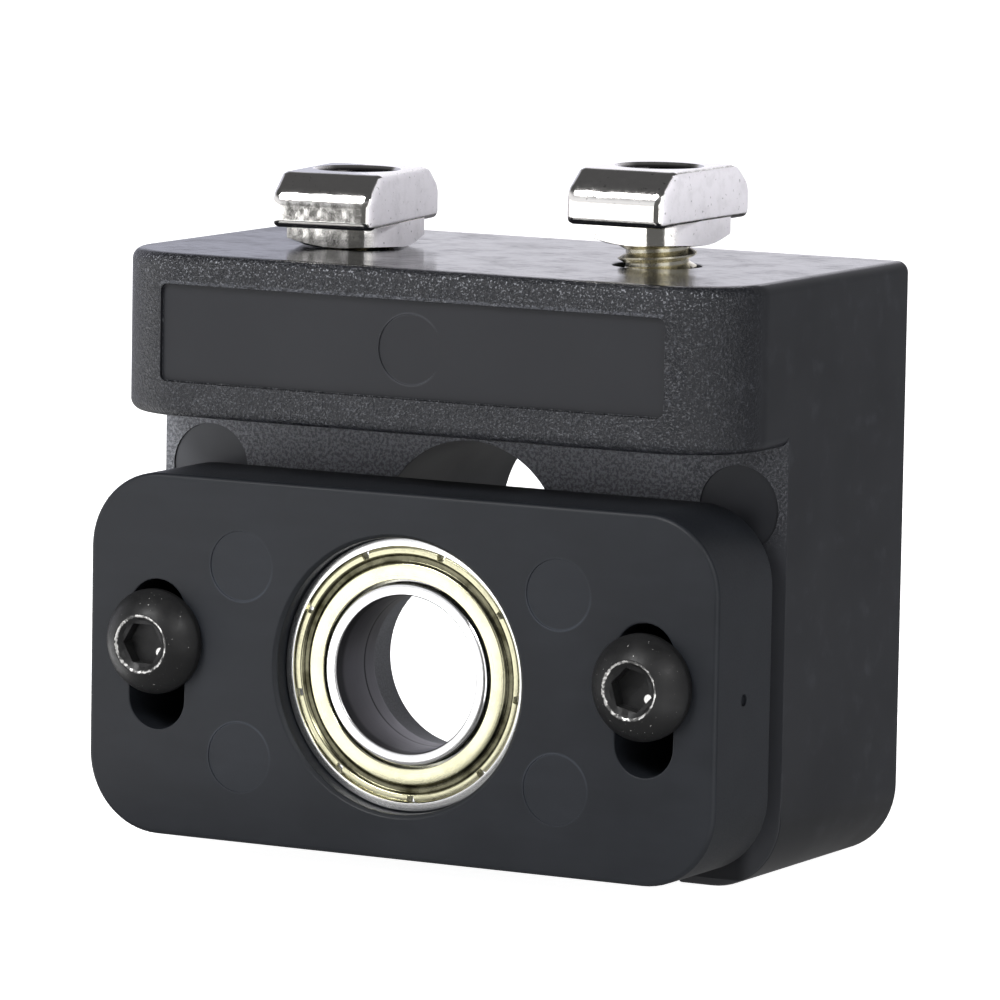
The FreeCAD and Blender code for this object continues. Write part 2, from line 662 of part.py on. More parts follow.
def make_shield(label, rear):
    """Pressed shield: a flat ring, a dished band and a rolled rim cut by notches."""
    body = new_body(label)
    rim = f"{SHIELD_SEAT} - Sizes.shield_fit"
    rim_inside = f"{SHIELD_SEAT} - Sizes.rim_inset"
    flat = f"{SHIELD_SEAT} - Sizes.flat_inset"
    hole = f"{INNER_STEP} + Sizes.shield_room"
    top = "Sizes.shield_set"
    sheet_size = "Sizes.shield_sheet"
    bottom = f"{top} + Sizes.shield_dish"
    seat = "Sizes.seat_depth"
    corners = [
        (hole, top),
        (flat, top),
        (f"{flat} + Sizes.shield_dish", bottom),
        (f"{rim_inside} - Sizes.shield_dish", bottom),
        (rim_inside, top),
        (f"{rim} - Sizes.shield_set", top),
        (rim, f"{top} + Sizes.shield_set"),
        (rim, seat),
        (f"{flat} + {seat} - {top} - {sheet_size}", seat),
        (flat, f"{top} + {sheet_size}"),
        (hole, f"{top} + {sheet_size}"),
    ]
    section = new_sketch(body, "XY_Plane", "section")
    draw_outline(section, corners)
    turn(section)
    notch = new_sketch(body, "XZ_Plane", "notch")
    half = "Sizes.notch_width / 2"
    draw_box(notch, f"{rim_inside} - Sizes.shield_dish / 2", SHIELD_SEAT, f"-{half}", half)
    first = pocket(notch, bottom)
    repeat_round(first, "Y_Axis", "Sizes.notch_count")
    if rear:
        body.Placement.Rotation = FreeCAD.Rotation(Z_AXIS, 180)
        place(body, y=f"{BEARING_FACE} + Sizes.bearing_width", z=BEARING_HEIGHT)
    else:
        body.Placement.Rotation = FreeCAD.Rotation(FreeCAD.Vector(0, -1, 0), 1)
        body.setExpression("Placement.Rotation.Angle", "Sizes.notch_turn")
        place(body, y=BEARING_FACE, z=BEARING_HEIGHT)
    return body


# Clamp screws and nuts: their own frames have the axis along Y


def make_clamp_screw(name, side):
    """Button-head screw, with the underside of its head at Y 0."""
    body = new_body(f"clamp_screw_{name}")
    thread = "Sizes.clamp_thread / 2"
    head = "Sizes.button_width / 2"
    top = "-Sizes.button_height"
    mouth_floor = f"{top} + Sizes.button_mouth_depth"
    corners = [
        ("0", mouth_floor),
        ("Sizes.button_mouth / 2 - Sizes.button_mouth_depth", mouth_floor),
        ("Sizes.button_mouth / 2", top),
        ("Sizes.button_top / 2", top),
        (head, "-Sizes.button_rim"),
        (head, "0"),
        (thread, "0"),
        (thread, "Sizes.clamp_length - Sizes.tip_bevel"),
        (f"{thread} - Sizes.tip_bevel", "Sizes.clamp_length"),
        ("0", "Sizes.clamp_length"),
    ]
    section = new_sketch(body, "XY_Plane", "section")
    draw_outline(section, corners, dome=3)
    turn(section)
    socket = new_sketch(body, "XZ_Plane", "socket", "Sizes.button_height")
    draw_hexagon(socket, "0", "0", "Sizes.button_socket")
    pocket(socket, "Sizes.button_socket_depth")
    place(body, f"{side} * Sizes.clamp_spacing / 2", f"{PLATE_FRONT} - Sizes.clamp_gap", "Sizes.clamp_height")
    return body


def make_clamp_nut(name, side):
    """Hexagon nut with bevelled corners, its front face at Y 0."""
    body = new_body(f"clamp_nut_{name}")
    flats = "Sizes.clamp_nut_flats"
    height = "Sizes.clamp_nut_height"
    blank = new_sketch(body, "XZ_Plane", "blank")
    draw_hexagon(blank, "0", "0", flats)
    pad(blank, height, reverse=True)
    hole = new_sketch(body, "XZ_Plane", "thread")
    draw_circle(hole, "0", "0", "Sizes.clamp_thread + 2 * Sizes.thread_room")
    pocket(hole)
    inner = f"{flats} / 2"
    outer = f"{flats} / 2 + 2 * Sizes.nut_bevel"
    bevel = new_sketch(body, "XY_Plane", "bevel")
    draw_outline(bevel, [(inner, "0"), (outer, "0"), (outer, "Sizes.nut_bevel")])
    draw_outline(bevel, [(inner, height), (outer, f"{height} - Sizes.nut_bevel"), (outer, height)])
    turn(bevel, "PartDesign::Groove")
    seat = f"{WALL_FRONT} + Sizes.clamp_boss_length - {height} - Sizes.nut_pocket_sink"
    place(body, f"{side} * Sizes.clamp_spacing / 2", seat, "Sizes.clamp_height")
    return body


# Profile screws and T-nuts: their own frames have the axis along Z


def make_profile_screw(name, side):
    """Cap-head screw, with the seat of its head at Z 0 and the shank upwards."""
    body = new_body(f"profile_screw_{name}")
    thread = "Sizes.profile_thread / 2"
    head = "Sizes.cap_width / 2"
    corners = [
        ("0", "-Sizes.cap_height"),
        (f"{head} - Sizes.cap_edge", "-Sizes.cap_height"),
        (head, "-Sizes.cap_height + Sizes.cap_edge"),
        (head, "0"),
        (thread, "0"),
        (thread, "Sizes.profile_length - Sizes.tip_bevel"),
        (f"{thread} - Sizes.tip_bevel", "Sizes.profile_length"),
        ("0", "Sizes.profile_length"),
    ]
    section = new_sketch(body, "XZ_Plane", "section")
    draw_outline(section, corners)
    turn(section)
    socket = new_sketch(body, "XY_Plane", "socket", "-Sizes.cap_height")
    draw_hexagon(socket, "0", "0", "Sizes.cap_socket")
    pocket(socket, "Sizes.cap_socket_depth", reverse=True)
    place(body, f"{side} * Sizes.profile_spacing / 2", f"{REAR} - Sizes.profile_setback", WINDOW_TOP)
    return body


def make_t_nut(name, side):
    """Hammer T-nut: sloped ends on a bar, over a lower boss with two rounded corners."""
    body = new_body(f"t_nut_{name}")
    reach = "Sizes.nut_length / 2"
    wide = "Sizes.nut_width"
    top = "Sizes.nut_height"
    slope_foot = "Sizes.nut_height - Sizes.nut_slope_rise"
    shoulder = f"{reach} - Sizes.nut_slope_run"
    bar = new_sketch(body, "YZ_Plane", "bar", f"-{wide} / 2")
    corners = [
        (f"-{reach}", "Sizes.nut_boss_height"),
        (reach, "Sizes.nut_boss_height"),
        (reach, slope_foot),
        (shoulder, top),
        (f"-({shoulder})", top),
        (f"-{reach}", slope_foot),
    ]
    draw_outline(bar, corners)
    pad(bar, wide)
    soften(body, "PartDesign::Fillet", "nut_edge", "Sizes.nut_edge", lambda edge: True)
    boss = new_sketch(body, "XY_Plane", "boss")
    half = "Sizes.nut_boss_width / 2"
    corner = "Sizes.nut_boss_corner"
    draw_box(boss, f"-{half}", half, f"-{half}", half, (None, corner, None, corner))
    pad(boss, "Sizes.nut_boss_height")
    bevel = new_sketch(body, "XZ_Plane", "bevel")
    outer = f"{half} * 1.5"
    draw_outline(bevel, [(half, "0"), (outer, "0"), (outer, "Sizes.nut_boss_bevel")])
    turn(bevel, "PartDesign::Groove")
    hole = new_sketch(body, "XY_Plane", "thread")
    draw_circle(hole, "0", "0", "Sizes.profile_thread + 2 * Sizes.thread_room")
    pocket(hole, reverse=True)
    mouth_height = value(top)

    def thread_mouth(edge):
        box = edge.BoundBox
        return near(box.ZMin, mouth_height) and isinstance(edge.Curve, Part.Circle)

    soften(body, "PartDesign::Chamfer", "nut_mouth", "Sizes.nut_mouth", thread_mouth)
    body.Placement.Rotation = FreeCAD.Rotation(Z_AXIS, 1)
    body.setExpression("Placement.Rotation.Angle", f"Sizes.{name}_nut_turn")
    lift = f"Sizes.block_height + Sizes.{name}_nut_lift"
    place(body, f"{side} * Sizes.profile_spacing / 2", f"{REAR} - Sizes.profile_setback", lift)
    return body


def make_all():
    pieces = [
        make_block(),
        make_plate(),
        make_outer_ring(),
        make_inner_ring(),
        make_cage(),
        make_balls(),
        make_shield("bearing_front_shield", rear=False),
        make_shield("bearing_rear_shield", rear=True),
    ]
    for name, side in SIDES:
        pieces.append(make_clamp_screw(name, side))
        pieces.append(make_clamp_nut(name, side))
        pieces.append(make_profile_screw(name, side))
        pieces.append(make_t_nut(name, side))
    return pieces


def check_and_write(pieces):
    """Stop on any failed object or broken solid, then write one file for each piece."""
    doc.recompute()
    for item in doc.Objects:
        if "Invalid" in item.State or "Error" in item.State:
            raise RuntimeError(f"{item.Label} failed: {item.State}")
    for piece in pieces:
        shape = piece.Shape
        if shape.isNull() or not shape.isValid() or not shape.Solids:
            raise RuntimeError(f"{piece.Label} has no valid solid")
    os.makedirs("parts", exist_ok=True)
    for piece in pieces:
        piece.Shape.exportStep(f"parts/{piece.Label}.step")
        box = piece.Shape.BoundBox
        print(f"{piece.Label}: {len(piece.Shape.Solids)} solids, {piece.Shape.Volume:.2f} mm3, "
              f"X {box.XMin:.2f} to {box.XMax:.2f}, Y {box.YMin:.2f} to {box.YMax:.2f}, "
              f"Z {box.ZMin:.2f} to {box.ZMax:.2f}")


check_and_write(make_all())
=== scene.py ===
import math

import bmesh
import bpy
from mathutils import Matrix, Vector


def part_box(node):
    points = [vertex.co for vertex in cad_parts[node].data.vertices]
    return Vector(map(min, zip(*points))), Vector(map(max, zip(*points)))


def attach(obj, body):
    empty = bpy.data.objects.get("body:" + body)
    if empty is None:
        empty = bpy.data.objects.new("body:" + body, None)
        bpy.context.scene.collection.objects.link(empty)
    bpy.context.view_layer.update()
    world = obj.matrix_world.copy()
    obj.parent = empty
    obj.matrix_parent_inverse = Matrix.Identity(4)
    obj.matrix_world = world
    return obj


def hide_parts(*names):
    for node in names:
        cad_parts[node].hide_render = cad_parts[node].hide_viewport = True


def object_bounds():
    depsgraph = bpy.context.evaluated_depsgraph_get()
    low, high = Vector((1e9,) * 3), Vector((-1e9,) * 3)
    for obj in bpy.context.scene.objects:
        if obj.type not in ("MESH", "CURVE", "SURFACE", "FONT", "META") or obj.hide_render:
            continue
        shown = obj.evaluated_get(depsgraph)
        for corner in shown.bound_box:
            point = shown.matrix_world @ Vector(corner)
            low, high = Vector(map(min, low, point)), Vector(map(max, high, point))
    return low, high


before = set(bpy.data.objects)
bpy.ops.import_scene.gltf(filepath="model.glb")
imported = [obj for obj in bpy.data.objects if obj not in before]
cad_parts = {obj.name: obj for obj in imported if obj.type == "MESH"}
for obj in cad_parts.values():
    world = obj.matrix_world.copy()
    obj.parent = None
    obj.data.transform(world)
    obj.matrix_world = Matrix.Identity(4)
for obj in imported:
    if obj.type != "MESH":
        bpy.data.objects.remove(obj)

bl_info = {
    "name": "Lead screw support block",
    "version": (1, 0, 0),
    "blender": (4, 5, 0),
    "location": "View3D > Sidebar > Support block",
    "description": "Dresses the packed support block with its mouldings, bearing, screws, nuts and a stage",
    "category": "Object",
}

MM = 0.001
MERGE = 2e-7
CAD_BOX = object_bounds()
CAD_BOX_MIDDLE = (Vector(CAD_BOX[0]) + Vector(CAD_BOX[1])) / 2
TO_DEPTH = Matrix.Rotation(-math.pi / 2, 4, "X")


def ends_of(node):
    """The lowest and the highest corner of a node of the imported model."""
    low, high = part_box(node)
    return Vector(low), Vector(high)


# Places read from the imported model, in metres
CLAMP_LOW, CLAMP_HIGH = ends_of("clamp_screw_right")
CLAMP_X = (CLAMP_LOW.x + CLAMP_HIGH.x) / 2
CLAMP_Z = (CLAMP_LOW.z + CLAMP_HIGH.z) / 2
PROFILE_LOW, PROFILE_HIGH = ends_of("profile_screw_right")
PROFILE_X = (PROFILE_LOW.x + PROFILE_HIGH.x) / 2
PROFILE_Y = (PROFILE_LOW.y + PROFILE_HIGH.y) / 2
RACE_LOW, RACE_HIGH = ends_of("bearing_outer_ring")
BEARING_MIDDLE = (RACE_LOW + RACE_HIGH) / 2
BEARING_WIDTH = RACE_HIGH.y - RACE_LOW.y
PLATE_FRONT = ends_of("bearing_plate")[0].y

# Places on the block, in millimetres
WALL_FRONT = -2.2
WALL_TOP = 22.0
HEAD_LOW = 22.3
HEAD_ROUNDING_TOP = 23.2
SIDE_START = 17.3
DISC_FLOOR = -2.08
LABEL_FLOOR = -8.72

# Marks on the mouldings, in millimetres
PANEL_MIDDLE = 26.75
PANEL_RISE = 2.45
PANEL_REACH = 14.35
MARK_RADIUS = 1.8
PLATE_MARK_X = 9.1
PLATE_MARK_Z = 4.9

# Shading: angles in degrees, and how well the normals of one flat agree
SHARP_EDGE = 36
SOFT_CREASE = 40
TURNED_CREASE = 32
BALL_CREASE = 60
SAME_FLAT = 0.9998


def length(name, description, default):
    """A size in metres for a property group."""
    return bpy.props.FloatProperty(
        name=name, description=description, default=default, unit="LENGTH", precision=6)


def colour(name, description, default):
    """A linear colour for a property group."""
    return bpy.props.FloatVectorProperty(
        name=name, description=description, default=default, subtype="COLOR", size=3, min=0.0, max=1.0)


def factor(name, description, default, most=1.0):
    """A plain number for a property group."""
    return bpy.props.FloatProperty(name=name, description=description, default=default, min=0.0, max=most)


def turning(name, description, default):
    """An angle in radians for a property group."""
    return bpy.props.FloatProperty(name=name, description=description, default=default, subtype="ANGLE")


def amount(name, description, default):
    """A whole number for a property group."""
    return bpy.props.IntProperty(name=name, description=description, default=default, min=3)


class MouldingLooks(bpy.types.PropertyGroup):
    """Sizes and colours of the two black mouldings."""

    block_colour: colour("Block", "Colour of the block's plastic", (0.0080, 0.0086, 0.0108))
    plate_colour: colour("Plate", "Colour of the plate's plastic", (0.0085, 0.0098, 0.0125))
    # Painted light: this colour lightens the grains' painted highlights, the shaded wall over the plate and
    # the plate's shaded hole
    painted_light_colour: colour("Pale grains", "Colour of rubbed grains and the wall's haze", (0.200, 0.206, 0.225))
    edge: length("Edge", "Most rounding of the mouldings' sharp edges", 0.12 * MM)
    grain_size: length("Grain", "Size of the spark texture's grains", 0.17 * MM)
    grain_depth: length("Grain depth", "Depth of the spark texture", 0.11 * MM)
    side_roughness: factor("Side roughness", "Roughness of the smooth sides", 0.42)
    top_roughness: factor("Top roughness", "Roughness of the mounting face", 0.12)


class BearingLooks(bpy.types.PropertyGroup):
    """Sizes and colours of the shielded bearing."""

    steel_colour: colour("Rings", "Colour of the ground rings", (0.86, 0.86, 0.86))
    # Painted shade: the bore is coloured dark for the shade inside it
    bore_shade_colour: colour("Bore", "Colour of the oiled bore", (0.17, 0.165, 0.18))
    shield_colour: colour("Shields", "Colour of the shields' pale gold finish", (0.80, 0.77, 0.53))
    dish_colour: colour("Dish", "Colour of the shields' dished band", (0.022, 0.020, 0.009))
    cage_colour: colour("Cage", "Colour of the ball cage", (0.45, 0.45, 0.44))
    ball_width: length("Ball", "Ball diameter", 1.588 * MM)
    ball_circle: length("Ball circle", "Pitch circle of the balls", 11.0 * MM)
    ball_count: amount("Balls", "Balls in the bearing", 9)
    notch_count: amount("Notches", "Notches in a shield's rim", 9)
    notch_width: length("Notch", "Width of a notch in a shield's rim", 0.38 * MM)
    notch_turn: turning("Notch turn", "Angle of the first notch", math.radians(33))


class ScrewLooks(bpy.types.PropertyGroup):
    """Sizes and colours of the clamp screws and the profile screws."""

    oxide_colour: colour("Black oxide", "Colour of the oiled black finish", (0.0075, 0.0075, 0.0078))
    # Also the colour of the painted highlight on the socket floors
    wear_and_glint_colour: colour("Worn steel", "Colour where the finish is worn at the socket", (0.80, 0.79, 0.77))
    zinc_colour: colour("Zinc", "Colour of the plated profile screws and captive nuts", (0.82, 0.78, 0.64))
    clamp_thread: length("Clamp thread", "Clamp screw thread diameter", 3.0 * MM)
    clamp_pitch: length("Clamp pitch", "Clamp screw thread pitch", 0.5 * MM)
    clamp_reach: length("Clamp length", "Clamp screw length under its head", 20.0 * MM)
    clamp_turn: turning("Clamp turn", "Turn of the right clamp screw", math.radians(14))
    profile_thread: length("Profile thread", "Profile screw thread diameter", 4.0 * MM)
    profile_pitch: length("Profile pitch", "Profile screw thread pitch", 0.7 * MM)
    profile_reach: length("Profile length", "Profile screw length under its head", 18.0 * MM)
    profile_turn: turning("Profile turn", "Turn of the right profile screw", math.radians(20))


class NutLooks(bpy.types.PropertyGroup):
    """Sizes and colours of the T-nuts."""

    nickel_colour: colour("Nickel", "Colour of the plated faces", (0.84, 0.82, 0.79))
    sawn_colour: colour("Sawn sides", "Colour of the matte sawn sides", (0.98, 0.95, 1.0))
    left_turn: turning("Left turn", "Turn of the left T-nut", math.radians(8.8))
    right_turn: turning("Right turn", "Turn of the right T-nut", math.radians(1.0))
    long_half: length("Half length", "Half of a T-nut's length", 5.1 * MM)
    wide_half: length("Half width", "Half of a T-nut's width", 2.8 * MM)
    tall: length("Height", "T-nut overall height", 3.9 * MM)
    slope_run: length("Slope run", "Length of the slope at each end of a T-nut", 1.4 * MM)
    slope_rise: length("Slope rise", "Height of the slope at each end of a T-nut", 1.05 * MM)
    boss_tall: length("Boss height", "Height of the boss under a T-nut", 1.12 * MM)
    boss_half: length("Boss half", "Half of the boss across its flats", 2.75 * MM)
    boss_corner: length("Boss corner", "Rounding of two corners of the boss", 2.2 * MM)
    hole_radius: length("Hole", "Radius of a T-nut's thread", 2.03 * MM)


class StageLooks(bpy.types.PropertyGroup):
    """Camera, floor and light."""

    yaw: turning("Yaw", "Camera turn to the right", 0.493912)
    pitch: turning("Pitch", "Camera tilt downwards", 0.122428)
    roll: turning("Roll", "Camera roll", 0.0175995)
    across: length("Across", "Aim point's place across the picture", -5.203 * MM)
    above: length("Above", "Aim point's place up the picture", -8.886 * MM)
    distance: length("Distance", "Camera to aim point", 389.28 * MM)
    lens: factor("Lens", "Focal length in millimetres", 279.234, 1000.0)
    floor_colour: colour("Floor", "Colour of the floor", (0.92, 0.92, 0.92))
    floor_radius: length("Floor radius", "Radius of the floor", 6.0)
    floor_glow: factor("Floor glow", "Light that the floor gives off itself", 0.95, 10.0)
    card_radius: length("Card radius", "Distance of the reflected cards from the middle", 240.0 * MM)
    horizon: factor("Horizon", "Brightness of the surroundings at the horizon", 1.0, 10.0)
    ceiling: factor("Ceiling", "Brightness of the surroundings overhead", 0.085, 10.0)


class Nodes:
    """Short ways to add nodes to one tree."""

    def __init__(self, tree):
        self.tree = tree

    def add(self, kind, inputs=(), **settings):
        """Adds a node; inputs are (socket, value or output) pairs."""
        node = self.tree.nodes.new(kind)
        for name, setting in settings.items():
            setattr(node, name, setting)
        for socket, given in dict(inputs).items():
            self.feed(node.inputs[socket], given)
        return node

    def made(self, kind, inputs=(), **settings):
        """The first output of a new node."""
        return self.add(kind, inputs, **settings).outputs[0]

    def feed(self, socket, given):
        """Links an output to a socket, or sets the socket's own value."""
        if isinstance(given, bpy.types.NodeSocket):
            self.tree.links.new(given, socket)
        else:
            socket.default_value = given

    def calc(self, operation, *given):
        """A math node's result."""
        return self.made("ShaderNodeMath", enumerate(given), operation=operation)

    def folded(self, operation, given):
        """One result from several values, taken in order."""
        result = given[0]
        for other in given[1:]:
            result = self.calc(operation, result, other)
        return result

    def times(self, *given):
        """The product of several values."""
        return self.folded("MULTIPLY", given)

    def plus(self, *given):
        """The sum of several values."""
        return self.folded("ADD", given)

    def most(self, *given):
        """The largest of several values."""
        return self.folded("MAXIMUM", given)

    def least(self, *given):
        """The smallest of several values."""
        return self.folded("MINIMUM", given)

    def minus(self, first, second):
        """The first value less the second."""
        return self.calc("SUBTRACT", first, second)

    def rest(self, share):
        """What a share leaves of one."""
        return self.minus(1.0, share)

    def absolute(self, given):
        """A value without its sign."""
        return self.calc("ABSOLUTE", given)

    def below(self, given, limit):
        """One where a value is under a limit, and nothing elsewhere."""
        return self.calc("LESS_THAN", given, limit)

    def near(self, given, middle, room):
        """One where a value is within some room of a middle, and nothing elsewhere."""
        return self.calc("COMPARE", given, middle, room)

    def apart(self, first, second):
        """The length of a step that has two parts."""
        return self.calc("SQRT", self.plus(self.times(first, first), self.times(second, second)))

    def split(self, vector):
        """The three parts of a vector."""
        return self.add("ShaderNodeSeparateXYZ", {0: vector}).outputs

    def joined(self, x, y, z):
        """A vector from three parts."""
        return self.made("ShaderNodeCombineXYZ", {0: x, 1: y, 2: z})

    def span(self, given, low, high, to_low=0.0, to_high=1.0, smooth=True):
        """Maps a value from one range to another, held at the ends."""
        ranges = {"Value": given, "From Min": low, "From Max": high, "To Min": to_low, "To Max": to_high}
        kind = "SMOOTHSTEP" if smooth else "LINEAR"
        return self.add("ShaderNodeMapRange", ranges, interpolation_type=kind).outputs["Result"]

    def band(self, given, start, full, wane, end):
        """A share that rises from start to full, and falls again from wane to end."""
        return self.times(self.span(given, start, full), self.span(given, end, wane))

    def mixed(self, share, first, second):
        """A value between two values."""
        return self.plus(self.times(first, self.rest(share)), self.times(second, share))

    def blend(self, share, first, second):
        """A colour between two colours; the share is held between nothing and one."""
        node = self.add("ShaderNodeMix", {0: share}, data_type="RGBA", clamp_factor=True)
        for socket, given in ((node.inputs[6], first), (node.inputs[7], second)):
            self.feed(socket, given if isinstance(given, bpy.types.NodeSocket) else (*given, 1.0))
        return node.outputs[2]


class Finish(Nodes):
    """One procedural material on object coordinates, in millimetres."""

    def __init__(self, name, base, roughness, metallic=0.0, specular=0.5):
        self.material = bpy.data.materials.new(name)
        self.material.use_nodes = True
        super().__init__(self.material.node_tree)
        self.shader = self.tree.nodes["Principled BSDF"]
        self.give("Base Color", (*base, 1.0))
        self.give("Roughness", roughness)
        self.give("Metallic", metallic)
        self.give("Specular IOR Level", specular)
        place = self.add("ShaderNodeTexCoord").outputs
        self.at = self.made("ShaderNodeVectorMath", {0: place["Object"], "Scale": 1 / MM}, operation="SCALE")
        self.x, self.y, self.z = self.split(self.at)
        self.facing = self.split(place["Normal"])

    def give(self, socket, given):
        """Sets or links one of the shader's sockets."""
        self.feed(self.shader.inputs[socket], given)

    def noise(self, size, detail=2.0, harshness=0.5, at=None):
        """Noise whose features are about the given size in millimetres."""
        node = self.add("ShaderNodeTexNoise", {
            "Vector": at or self.at, "Scale": 1 / size, "Detail": detail, "Roughness": harshness})
        return node.outputs["Fac"]

    def lathe_lines(self, size):
        """Noise in fine lines round the bearing's axis."""
        return self.noise(size, 2.0, 0.6, self.joined(self.off_axis(), self.y, 0.0))

    def bump(self, height, depth, over=None):
        """A bump of the given depth in metres, over another one."""
        node = self.add("ShaderNodeBump", {"Height": height, "Distance": depth, "Strength": 1.0})
        if over is not None:
            self.feed(node.inputs["Normal"], over)
        return node.outputs["Normal"]

    def radius(self, x, z):
        """Distance in millimetres from an axis along the depth."""
        return self.apart(self.minus(self.x, x), self.minus(self.z, z))

    def off_axis(self):
        """Distance in millimetres from the bearing's axis."""
        return self.radius(0.0, BEARING_MIDDLE.z / MM)

    def mark_outline(self, away):
        """The band of the thin raised edge round an ejector pin mark, at a distance from its middle, where a
        highlight is painted.
        """
        return self.band(away, MARK_RADIUS - 0.11, MARK_RADIUS - 0.03, MARK_RADIUS + 0.03, MARK_RADIUS + 0.11)


def dimmed(base, share):
    """A colour made darker or lighter by a share."""
    return tuple(part * share for part in base)


class SparkFinish(Finish):
    """The block's black moulding: spark texture on the front faces, smooth sides, glossy top."""

    def __init__(self, looks):
        super().__init__("spark_textured_plastic", looks.block_colour, looks.side_roughness, specular=0.28)
        self.looks = looks
        forward = self.times(self.facing[1], -1.0)
        self.ahead = self.span(forward, 0.35, 0.90)
        self.top = self.span(self.facing[2], 0.80, 0.97)
        self.in_reach = self.below(self.absolute(self.x), PANEL_REACH)
        in_panel = self.times(self.in_reach, self.near(self.z, PANEL_MIDDLE, PANEL_RISE))
        self.label = self.times(self.near(self.y, LABEL_FLOOR, 0.08), in_panel)
        self.disc = self.times(self.near(self.y, DISC_FLOOR, 0.05), self.below(self.z, HEAD_LOW))
        self.smooth = self.most(self.label, self.disc)
        # The grain, with its painted specks and highlights, stops on the wall below the plate's top, where
        # the plate shades it
        above_plate = self.most(self.span(self.z, 16.5, 19.0), self.below(self.y, -3.0))
        self.grainy = self.times(self.span(forward, 0.10, 0.34), self.rest(self.smooth), above_plate)
        size = looks.grain_size / MM
        self.coarse = self.noise(size, 2.0, 0.6)
        self.pits = self.plus(self.coarse, self.times(self.noise(size * 0.45, 1.0, 0.5), 0.4))
        self.scuff = self.noise(0.35, 4.0, 0.65, self.joined(self.times(self.x, 0.35), self.y, self.z))
        self.relief()
        self.gloss()
        # worn holds painted highlights and painted light as well as smudges, and pale is painted light
        worn = self.plus(self.rubbed(), self.painted_edge_highlights())
        plain = self.blend(worn, looks.block_colour, [part * 3.0 + 0.010 for part in looks.block_colour])
        pale = self.plus(self.painted_wall_light(), self.painted_grain_highlights())
        self.give("Base Color", self.blend(pale, plain, looks.painted_light_colour))

    def relief(self):
        """Spark pits on the front faces, and fine scuffs on the top."""
        grain = self.bump(self.times(self.pits, self.grainy), self.looks.grain_depth)
        self.give("Normal", self.bump(self.times(self.scuff, self.top), 0.0026 * MM, grain))

    def gloss(self):
        """Uneven satin sides, glossier grains, and a rubbed glossy top."""
        side = self.looks.side_roughness
        flow = self.span(self.noise(7.0, 2.0, 0.5), 0.3, 0.7, side - 0.04, side + 0.04)
        rubbed = self.span(self.noise(2.6, 2.0, 0.5), 0.35, 0.7, -0.01, 0.07)
        glossy = self.plus(self.looks.top_roughness, self.span(self.scuff, 0.4, 0.8, -0.02, 0.12), rubbed)
        satin = self.plus(flow, self.times(self.grainy, -0.12))
        self.give("Roughness", self.mixed(self.top, satin, glossy))

    def rubbed(self):
        """Lighter colour: painted highlights on high grains, painted light on the smooth floors, and smudges
        on the right side.
        """
        # Painted highlights on the high grains; the smooth floors of the label and the discs get painted
        # light
        specks = self.times(self.span(self.pits, 0.76, 0.92), self.grainy, 0.8)
        clouds = self.span(self.noise(1.4, 4.0, 0.65), 0.52, 0.75, 0.0, 0.30)
        smudge = self.times(clouds, self.span(self.facing[0], 0.6, 0.9))
        return self.plus(specks, self.times(self.smooth, 0.10), smudge)

    def painted_edge_highlights(self):
        """Painted highlights on the top and bottom of the pin mark's outline on the label, and along the edge
        over the label.
        """
        ends = self.span(self.absolute(self.minus(self.z, PANEL_MIDDLE)), 0.8, 1.6)
        ring = self.mark_outline(self.radius(0.0, PANEL_MIDDLE))
        # Painted highlight along the edge over the label, broken up by the grain
        edge = self.times(self.near(self.z, PANEL_MIDDLE + 2.58, 0.10), self.in_reach, self.grainy)
        painted_glint = self.times(edge, self.span(self.coarse, 0.40, 0.58))
        return self.plus(self.times(ring, self.label, ends, 0.5), self.times(painted_glint, 2.6))

    def painted_wall_light(self):
        """Painted light on the wall over the plate, where the head and the plate shade it, fading to the
        right, and fainter painted light at the wall's lower ends.
        """
        wall_face = self.times(self.near(self.y, WALL_FRONT + 0.05, 0.12), self.ahead)
        upper = self.span(self.z, 17.5, 19.5)
        wall = self.times(wall_face, upper, self.span(self.x, 10.0, 16.5, 1.0, 0.25))
        speckled = self.times(self.span(self.pits, 0.60, 0.88, 0.46, 1.30), self.rest(self.disc))
        border = self.span(self.absolute(self.x), 15.6, 16.6, 0.0, 0.12)
        return self.plus(self.times(wall, self.plus(speckled, self.times(self.disc, 0.27))),
                         self.times(wall_face, self.rest(upper), border))

    def painted_grain_highlights(self):
        """Painted light: a faint lightening of the grains, and painted highlights on their tips, most of all
        near the head's top and on upturned faces.
        """
        tips = self.times(self.span(self.noise(0.11, 1.0, 0.5), 0.58, 0.70), self.grainy, self.ahead)
        upturned = self.span(self.facing[2], 0.1, 0.4, 0.0, 0.5)
        lit = self.plus(self.span(self.z, 28.8, 30.6, 0.28, 0.85), upturned)
        return self.plus(self.times(self.grainy, self.ahead, 0.016), self.times(tips, lit, 0.72))


